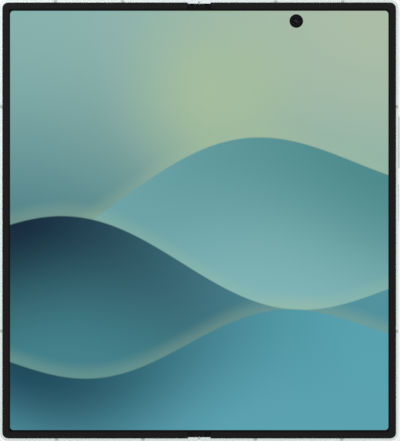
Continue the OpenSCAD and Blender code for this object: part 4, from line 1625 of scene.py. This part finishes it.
REAR_CAMERAS = PhoneCamera(
    name="rear_camera",
    centres=tuple((ISLAND[0], ISLAND[1] + i * CAMERA_PITCH) for i in (-1, 0, 1)),
    window_z=0.1,
    facing=Facing.BACK,
    window_r=6.27,
    window_t=0.5,
    opening_r=4.4,
    mask_r=4.5,
    well=((4.1, 0.35), (3.4, 0.75), (2.9, 1.15), (2.45, 1.5)),
    outer_r=5.4,
    depth=2.75,
    element_r=2.4,
    body="right_half",
    replaced=("camera_lenses", "camera_modules"),
    holder=((12.0, 2.6, 4.2), (14.0, 4.15, 4.65)),
)
SELFIE_CAMERA = PhoneCamera(
    name="selfie_camera",
    centres=((34.9, 71.65),),
    window_z=DISPLAY_TOP - 0.03,
    facing=Facing.FRONT,
    window_r=2.0,
    window_t=0.22,
    opening_r=1.1,
    mask_r=1.62,
    well=((1.42, 0.3), (1.15, 0.6), (0.9, 0.9)),
    outer_r=2.39,
    depth=2.85,
    element_r=0.88,
    body="right_half",
    replaced=("selfie_camera",),
    glass=COATED_WINDOW,
)
COVER_CAMERA = PhoneCamera(
    name="cover_camera",
    centres=((-35.8, 71.8),),
    window_z=BACK_Z + 0.52,
    facing=Facing.BACK,
    window_r=1.9,
    window_t=0.12,
    opening_r=1.2,
    mask_r=1.35,
    well=((1.2, 0.25), (1.0, 0.5), (0.8, 0.8)),
    outer_r=1.9,
    depth=2.2,
    element_r=0.78,
    body="left_half",
    replaced=("cover_camera",),
)


# ---------------------------------------------------------------------------
# Fine repeated parts
# ---------------------------------------------------------------------------


class Recipe(GroupTree):
    """A Geometry Nodes tree with named sizes that is run once and kept as a plain mesh."""

    def __init__(self, name: str, sizes: Mapping[str, float]) -> None:
        """Makes the tree with an input for each size and one for the material.

        Args:
            name: Name of the tree and of the object that it makes.
            sizes: Value of each size, by name.
        """
        inputs = {**sizes, "Material": SocketKind.MATERIAL}
        super().__init__(name, TreeKind.GEOMETRY, inputs, {"Geometry": SocketKind.GEOMETRY})
        self.name = name
        self.sizes = sizes

    def instances(self, shape: Socket, points: Socket, **inputs: object) -> Socket:
        """Puts a copy of a shape on every point."""
        given = {"Points": points, "Instance": shape, **inputs}
        return self.graph.add("GeometryNodeInstanceOnPoints", given).outputs[0]

    def row(self, shape: Socket, first: Point | Socket, step: Point | Socket, count: int) -> Socket:
        """Puts copies of a shape in a row.

        Args:
            shape: Geometry to repeat.
            first: Place of the first copy.
            step: Way from one copy to the next.
            count: Number of copies.

        Returns:
            The copies as instances.
        """
        inputs = {"Count": count, "Start Location": first, "Offset": step}
        line = self.graph.add("GeometryNodeMeshLine", inputs, mode="OFFSET").outputs[0]
        return self.instances(shape, line)

    def real(self, geometry: Socket) -> Socket:
        """Turns instances into real geometry."""
        return self.graph.add("GeometryNodeRealizeInstances", {0: geometry}).outputs[0]

    def ring(self, radius: Value, corners: int) -> Socket:
        """Gives a round curve with so many corners."""
        inputs = {"Resolution": corners, "Radius": radius}
        return self.graph.add("GeometryNodeCurvePrimitiveCircle", inputs).outputs[0]

    def moved(self, geometry: Socket, **inputs: object) -> Socket:
        """Moves, turns or scales geometry, by the names of the transform's inputs."""
        return self.graph.add("GeometryNodeTransform", {"Geometry": geometry, **inputs}).outputs[0]

    def plate(self, size: tuple[Value, Value], corner: Value, corner_steps: int, thickness: Value) -> Socket:
        """Makes a plate with round corners, closed on all sides, with its lower face at 0.

        Args:
            size: Width and height of the plate.
            corner: Radius of its corners.
            corner_steps: Points on each corner.
            thickness: Thickness of the plate.

        Returns:
            The plate's mesh.
        """
        g = self.graph
        square = {"Width": size[0], "Height": size[1]}
        outline = g.add("GeometryNodeCurvePrimitiveQuadrilateral", square).outputs[0]
        fillet = {"Curve": outline, "Radius": corner, "Count": corner_steps}
        rounded = g.add("GeometryNodeFilletCurve", fillet, mode="POLY").outputs[0]
        face = g.add("GeometryNodeFillCurve", {0: rounded}, mode="NGONS").outputs[0]
        raised = {"Mesh": face, "Offset Scale": thickness, "Individual": False}
        wall = g.add("GeometryNodeExtrudeMesh", raised).outputs[0]
        base = g.add("GeometryNodeFlipFaces", {"Mesh": face}).outputs[0]
        both = {"Geometry": g.join(base, wall), "Distance": PLATE_WELD_DISTANCE}
        return g.add("GeometryNodeMergeByDistance", both).outputs[0]

    def close(self, geometry: Socket) -> None:
        """Ends the tree with real geometry in metres and its material.

        Args:
            geometry: What the tree made, in millimetres.
        """
        real = self.real(self.moved(geometry, Scale=(MM, MM, MM)))
        clad = {"Geometry": real, "Material": self.inputs["Material"]}
        self.give("Geometry", self.graph.add("GeometryNodeSetMaterial", clad).outputs[0])

    def bake(self, finish: Finish) -> bpy.types.Object:
        """Runs the tree once and keeps its result as a plain mesh.

        Args:
            finish: Finish of the piece.

        Returns:
            The object, at the origin.
        """
        host = in_scene(f"{self.name}_host", bpy.data.meshes.new(f"{self.name}_host"))
        modifier = host.modifiers.new("recipe", "NODES")
        modifier.node_group = self.tree
        values = {**self.sizes, "Material": finish.material()}
        for item in self.tree.interface.items_tree:
            if item.in_out == "INPUT":
                modifier[item.identifier] = values[item.name]
        shown = host.evaluated_get(bpy.context.evaluated_depsgraph_get())
        mesh = bpy.data.meshes.new_from_object(shown)
        mesh.name = self.name
        bpy.data.objects.remove(host)
        return in_scene(self.name, mesh)


@dataclass(frozen=True)
class FinePart(Assembly):
    """Fine detail that Geometry Nodes repeat from one small shape.

    Attributes:
        name: Name of the piece.
        body: CAD body that carries it.
        finish: Finish of the piece.
        slot: Slot of the record that goes with its finish; not used.
    """

    name: str
    body: str
    finish: ClassVar[Finish]
    slot: ClassVar[str]

    @abstractmethod
    def sizes(self) -> dict[str, float]:
        """Gives the value of each size that the tree takes, by name."""

    @abstractmethod
    def shape(self, recipe: Recipe) -> Socket:
        """Draws the piece in millimetres.

        Args:
            recipe: Tree that takes the nodes.

        Returns:
            The piece's geometry.
        """

    def build(self) -> list[bpy.types.Object]:
        """Runs the tree and ties the piece to its body.

        Returns:
            The one piece.
        """
        recipe = Recipe(self.name, self.sizes())
        recipe.close(self.shape(recipe))
        piece = recipe.bake(self.finish)
        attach(piece, self.body)
        return [piece]


@dataclass(frozen=True)
class SoundMesh(FinePart):
    """Woven wire behind a row of sound slots.

    Attributes:
        middle: Middle of the row.
        slots: Number of slots.
        slot_step: Way from one slot to the next.
        patch: Width and height of the cloth behind one slot.
        spacing: Distance between wires.
        wire_r: Radius of a wire.
        wire_corners: Corners round a wire.
        wave: How far a wire swings over and under the others.
    """

    finish: ClassVar[Finish] = WIRE
    slot: ClassVar[str] = "steel"
    middle: Point
    slots: int = 6
    slot_step: float = 2.2
    patch: Pair = (1.92, 1.28)
    spacing: float = 0.16
    wire_r: float = 0.022
    wire_corners: int = 5
    wave: float = 0.02

    def sizes(self) -> dict[str, float]:
        """Gives the value of each size that the tree takes, by name."""
        return {"Spacing": self.spacing, "Wire Radius": self.wire_r, "Wave": self.wave}

    def shape(self, recipe: Recipe) -> Socket:
        """Weaves the cloth and puts it behind every slot.

        Args:
            recipe: Tree that takes the nodes.

        Returns:
            The piece's geometry.
        """
        cloth = recipe.graph.join(self._wires(recipe, upright=False), self._wires(recipe, upright=True))
        x, y, z = self.middle
        first = (x - self.slot_step * (self.slots - 1) / 2, y, z)
        return recipe.row(cloth, first, (self.slot_step, 0.0, 0.0), self.slots)

    def _wires(self, recipe: Recipe, upright: bool) -> Socket:
        """Makes the wires of one direction, waving over and under the others.

        Args:
            recipe: Tree that takes the nodes.
            upright: Whether the wires run along Z instead of X.

        Returns:
            The mesh of the wires.
        """
        g, spacing = recipe.graph, recipe.inputs["Spacing"]
        along, across = reversed(self.patch) if upright else self.patch
        ends = {"Start": (-along / 2, 0.0, 0.0), "End": (along / 2, 0.0, 0.0)}
        line = g.add("GeometryNodeCurvePrimitiveLine", ends).outputs[0]
        fineness = {"Curve": line, "Count": 4 * round(along / self.spacing) + 1}
        wire = g.add("GeometryNodeResampleCurve", fineness).outputs[0]
        count = round(across / self.spacing)
        lowest = g.combine(z=g.product(spacing, -(count - 1) / 2))
        wires = recipe.real(recipe.row(wire, lowest, g.combine(z=spacing), count))
        x, _, z = g.split(g.add("GeometryNodeInputPosition").outputs[0])
        turn = g.product(g.total(g.math("DIVIDE", x, spacing), g.math("DIVIDE", z, spacing)), math.pi)
        lift = g.product(g.math("SINE", turn), recipe.inputs["Wave"], -1.0 if upright else 1.0)
        waved = g.add("GeometryNodeSetPosition", {"Geometry": wires, "Offset": g.combine(y=lift)}).outputs[0]
        profile = recipe.ring(recipe.inputs["Wire Radius"], self.wire_corners)
        swept = {"Curve": waved, "Profile Curve": profile, "Fill Caps": True}
        solid = g.add("GeometryNodeCurveToMesh", swept).outputs[0]
        return recipe.moved(solid, Rotation=(0.0, math.pi / 2 if upright else 0.0, 0.0))


@dataclass(frozen=True)
class PortContacts(FinePart):
    """Gold contacts on both faces of the port's tongue.

    Attributes:
        middle: Middle of the contacts.
        count: Contacts on one face.
        spacing: Way from one contact to the next.
        size: Width and length of a contact.
        corner: Radius of its corners.
        corner_steps: Points on each corner.
        proud: How far a contact stands out of the tongue.
        sunk: How far it goes into the tongue.
        tongue_half: Half of the tongue's thickness.
    """

    finish: ClassVar[Finish] = GOLD
    slot: ClassVar[str] = "steel"
    middle: Point
    count: int = 12
    spacing: float = 0.5
    size: Pair = (0.26, 4.4)
    corner: float = 0.08
    corner_steps: int = 4
    proud: float = 0.03
    sunk: float = 0.03
    tongue_half: float = 0.35

    def sizes(self) -> dict[str, float]:
        """Gives the value of each size that the tree takes, by name."""
        return {"Width": self.size[0], "Length": self.size[1], "Corner": self.corner}

    def shape(self, recipe: Recipe) -> Socket:
        """Draws one contact and repeats it on both faces.

        Args:
            recipe: Tree that takes the nodes.

        Returns:
            The piece's geometry.
        """
        sizes = (recipe.inputs["Width"], recipe.inputs["Length"])
        pad = recipe.plate(sizes, recipe.inputs["Corner"], self.corner_steps, self.proud + self.sunk)
        x, y, z = self.middle
        left = x - self.spacing * (self.count - 1) / 2
        rows = []
        for height in (z - self.tongue_half - self.proud, z + self.tongue_half - self.sunk):
            rows.append(recipe.row(pad, (left, y, height), (self.spacing, 0.0, 0.0), self.count))
        return recipe.graph.join(*rows)


@dataclass(frozen=True)
class FlashRings(FinePart):
    """Stepped rings of the flash's lens, each a closed ridge.

    Attributes:
        middle: Middle of the rings.
        rings: Number of rings.
        first_r: Radius of the smallest ring.
        spacing: Way from one ring to the next.
        ridge: Radius of a ridge's section.
        ridge_corners: Corners of that section.
        ring_corners: Corners round a ring.
    """

    finish: ClassVar[Finish] = FLASH
    slot: ClassVar[str] = "flash_plastic"
    middle: Point
    rings: int = 7
    first_r: float = 0.3
    spacing: float = 0.22
    ridge: float = 0.09
    ridge_corners: int = 3
    ring_corners: int = 48

    def sizes(self) -> dict[str, float]:
        """Gives the value of each size that the tree takes, by name."""
        return {"First Radius": self.first_r, "Spacing": self.spacing, "Ridge": self.ridge}

    def shape(self, recipe: Recipe) -> Socket:
        """Sizes a circle for each ring and sweeps a ridge along it.

        Args:
            recipe: Tree that takes the nodes.

        Returns:
            The piece's geometry.
        """
        g = recipe.graph
        number = g.add("GeometryNodeInputIndex").outputs[0]
        radius = g.total(g.product(number, recipe.inputs["Spacing"]), recipe.inputs["First Radius"])
        places = {"Count": self.rings, "Offset": (0.0, 0.0, 0.0)}
        points = g.add("GeometryNodeMeshLine", places, mode="OFFSET").outputs[0]
        circle = recipe.ring(1.0, self.ring_corners)
        circles = recipe.real(recipe.instances(circle, points, Scale=g.combine(radius, radius, 1.0)))
        swept = {"Curve": circles, "Profile Curve": recipe.ring(recipe.inputs["Ridge"], self.ridge_corners)}
        return recipe.moved(g.add("GeometryNodeCurveToMesh", swept).outputs[0], Translation=self.middle)


@dataclass(frozen=True)
class BoardParts(FinePart):
    """Small chip parts scattered over a free stretch of a board's lower face.

    Attributes:
        middle: Middle of the stretch, on the board's face.
        area: Width and length of the stretch.
        seed: Seed of the scatter.
        size: Width and length of a part.
        corner: Radius of its corners.
        corner_steps: Points on each corner.
        height: Height of a part.
        gap: Least distance between the middles of two parts.
        density: Most parts per square millimetre.
    """

    finish: ClassVar[Finish] = CHIP
    slot: ClassVar[str] = "camera_black"
    middle: Point
    area: Pair
    seed: int
    size: Pair = (1.0, 0.5)
    corner: float = 0.06
    corner_steps: int = 3
    height: float = 0.36
    gap: float = 1.3
    density: float = 4.0

    def sizes(self) -> dict[str, float]:
        """Gives the value of each size that the tree takes, by name."""
        return {"Gap": self.gap, "Height": self.height, "Seed": self.seed}

    def shape(self, recipe: Recipe) -> Socket:
        """Scatters the parts, each square to the board's edges.

        Args:
            recipe: Tree that takes the nodes.

        Returns:
            The piece's geometry.
        """
        g, seed = recipe.graph, recipe.inputs["Seed"]
        width, length = (edge - self.gap for edge in self.area)
        grid = {"Size X": width, "Size Y": length, "Vertices X": 2, "Vertices Y": 2}
        stretch = g.add("GeometryNodeMeshGrid", grid).outputs[0]
        scatter = {
            "Mesh": stretch,
            "Distance Min": recipe.inputs["Gap"],
            "Density Max": self.density,
            "Seed": seed,
        }
        points = g.add("GeometryNodeDistributePointsOnFaces", scatter, distribute_method="POISSON")
        # Inputs 4 and 5 and output 2 are the node's sockets for whole numbers
        quarter = g.add("FunctionNodeRandomValue", {4: 0, 5: 1, "Seed": seed}, data_type="INT").outputs[2]
        turned = g.combine(z=g.product(quarter, math.pi / 2))
        part = recipe.plate(self.size, self.corner, self.corner_steps, recipe.inputs["Height"])
        x, y, z = self.middle
        placed = recipe.instances(part, points.outputs[0], Rotation=turned)
        return recipe.moved(placed, Translation=(x, y, z - self.height))


FINE_PARTS = (
    SoundMesh("bottom_sound_mesh", "right_half", middle=(58.0, -77.25, PORT_MIDDLE)),
    SoundMesh("top_sound_mesh", "left_half", middle=(-35.8, 77.25, PORT_MIDDLE)),
    PortContacts("port_contacts", "right_half", middle=(35.8, -74.0, PORT_MIDDLE)),
    FlashRings("flash_rings", "right_half", middle=(43.1, 62.9, BACK_Z + 0.12)),
    BoardParts(
        "main_board_parts", "right_half", middle=(38.5, 50.5, BOARD_FACE), area=(18.0, 16.0), seed=4
    ),
    BoardParts(
        "left_board_parts", "left_half", middle=(-48.0, 56.5, BOARD_FACE - 0.1), area=(18.0, 12.0), seed=9
    ),
)


# ---------------------------------------------------------------------------
# Stage, light and camera
# ---------------------------------------------------------------------------


@dataclass(frozen=True)
class AreaLamp:
    """One soft box.

    Attributes:
        name: Name of the lamp.
        place: Its place in metres.
        size: Its width and height in metres.
        power: Its power in watts.
    """

    name: str
    place: Point
    size: Pair
    power: float

    def build(self) -> None:
        """Adds the lamp, aimed at the phone."""
        data = bpy.data.lights.new(self.name, "AREA")
        data.shape = "RECTANGLE"
        data.energy = self.power
        data.size, data.size_y = self.size
        lamp = in_scene(self.name, data)
        lamp.location = self.place
        lamp.rotation_euler = (-Vector(self.place)).to_track_quat("-Z", "Y").to_euler()


@dataclass(frozen=True)
class Studio:
    """Floor, light and camera.

    Attributes:
        floor_half: Half of the floor's edge in metres.
        floor_color: Colour of the floor.
        floor_plain: Share of the floor's look that takes no shade.
        white: Colour of the surroundings.
        ambient: Strength of the even light from all sides.
        lens: Focal length of the camera.
        sensor: Width of its sensor.
        pixels_per_mm: Scale of the render at the display's face.
        render_height: Height of the render in pixels.
        aim: Point of the frame in the middle of the render.
        clip: Nearest and farthest distance that it sees, in metres.
        lamps: The soft boxes.
    """

    floor_half: float = 1.5
    floor_color: Color = (0.985, 0.985, 0.985, 1.0)
    floor_plain: float = 0.78
    white: Color = (1.0, 1.0, 1.0, 1.0)
    ambient: float = 0.36
    lens: float = 220.0
    sensor: float = 36.0
    pixels_per_mm: float = 2.7832
    render_height: float = 441.0
    aim: Pair = (0.3, -0.02)
    clip: Pair = (0.01, 10.0)
    lamps: tuple[AreaLamp, ...] = (
        AreaLamp("key", place=(-0.42, 0.4, 0.75), size=(0.6, 0.6), power=4.2),
        AreaLamp("fill", place=(0.85, -0.35, 1.0), size=(0.8, 0.8), power=2.3),
        AreaLamp("left_strip", place=(-1.0, 0.0, 0.3), size=(1.0, 0.5), power=0.25),
        AreaLamp("top_strip", place=(0.0, 1.0, 0.3), size=(1.0, 0.5), power=1.2),
        AreaLamp("right_strip", place=(1.0, 0.0, 0.3), size=(1.0, 0.5), power=0.8),
        AreaLamp("low_strip", place=(0.0, -1.0, 0.3), size=(1.0, 0.5), power=1.1),
        AreaLamp("under", place=(0.8, -0.7, -0.9), size=(0.9, 0.9), power=5.0),
    )

    def build(self) -> None:
        """Adds everything that isn't part of the phone."""
        self._floor()
        self._world()
        for lamp in self.lamps:
            lamp.build()
        self._camera()
        bpy.context.scene.view_settings.view_transform = "Standard"

    def _floor(self) -> None:
        """Adds the floor."""
        bm = bmesh.new()
        corners = ((-1, -1), (1, -1), (1, 1), (-1, 1))
        bm.faces.new([bm.verts.new((x * self.floor_half, y * self.floor_half, 0.0)) for x, y in corners])
        mesh = bpy.data.meshes.new("floor")
        bm.to_mesh(mesh)
        bm.free()
        mesh.materials.append(self._paper())
        in_scene("floor", mesh)

    def _paper(self) -> bpy.types.Material:
        """Makes the floor's paper, which shows from above only, so views from below stay free.

        Returns:
            The material.
        """
        material = bpy.data.materials.new("floor_paper")
        g = cleared(material)
        lit = g.add("ShaderNodeBsdfDiffuse", {"Color": self.floor_color}).outputs[0]
        plain = g.add("ShaderNodeEmission", {"Color": self.floor_color, "Strength": 1.0}).outputs[0]
        paper = g.blend(self.floor_plain, lit, plain)
        clear = g.add("ShaderNodeBsdfTransparent").outputs[0]
        front = g.math("SUBTRACT", 1.0, g.add("ShaderNodeNewGeometry").outputs["Backfacing"])
        shown = g.product(self._shown(g), front)
        g.add("ShaderNodeOutputMaterial", {"Surface": g.blend(shown, clear, paper)})
        return material

    def _shown(self, g: Graph) -> Socket:
        """Marks the rays that show the surroundings: to the camera, mirrored or through glass.

        Args:
            g: Tree that takes the nodes.

        Returns:
            1 for those rays and 0 for the others.
        """
        path = g.add("ShaderNodeLightPath").outputs
        mirrored = g.math("MAXIMUM", path["Is Glossy Ray"], path["Is Transmission Ray"])
        return g.math("MAXIMUM", path["Is Camera Ray"], mirrored)

    def _world(self) -> None:
        """Sets an even ambient light and a white backdrop."""
        world = bpy.data.worlds.new("studio")
        bpy.context.scene.world = world
        g = cleared(world)
        ambient, backdrop = (
            g.add("ShaderNodeBackground", {"Color": self.white, "Strength": strength}).outputs[0]
            for strength in (self.ambient, 1.0)
        )
        g.add("ShaderNodeOutputWorld", {"Surface": g.blend(self._shown(g), ambient, backdrop)})

    def _camera(self) -> None:
        """Adds the camera straight above the phone."""
        data = bpy.data.cameras.new("camera")
        data.lens = self.lens
        data.sensor_width = self.sensor
        data.clip_start, data.clip_end = self.clip
        span = self.render_height / self.pixels_per_mm * MM
        distance = span * self.lens / self.sensor
        camera = in_scene("camera", data)
        camera.location = (self.aim[0] * MM, self.aim[1] * MM, DISPLAY_TOP * MM + distance)
        bpy.context.scene.camera = camera


def main() -> None:
    """Builds the looks, the stage, the light and the camera, and reports each piece."""
    logging.basicConfig(level=logging.INFO, format="%(name)s: %(message)s")
    dress_cad_nodes()
    cameras = (REAR_CAMERAS, SELFIE_CAMERA, COVER_CAMERA)
    for assembly in (FoldDisplay(), RibbonCables(), *cameras, *FINE_PARTS):
        for piece in assembly.build():
            LOG.info("%s: %d faces", piece.name, len(piece.data.polygons))
    Studio().build()


if __name__ == "__main__":
    main()
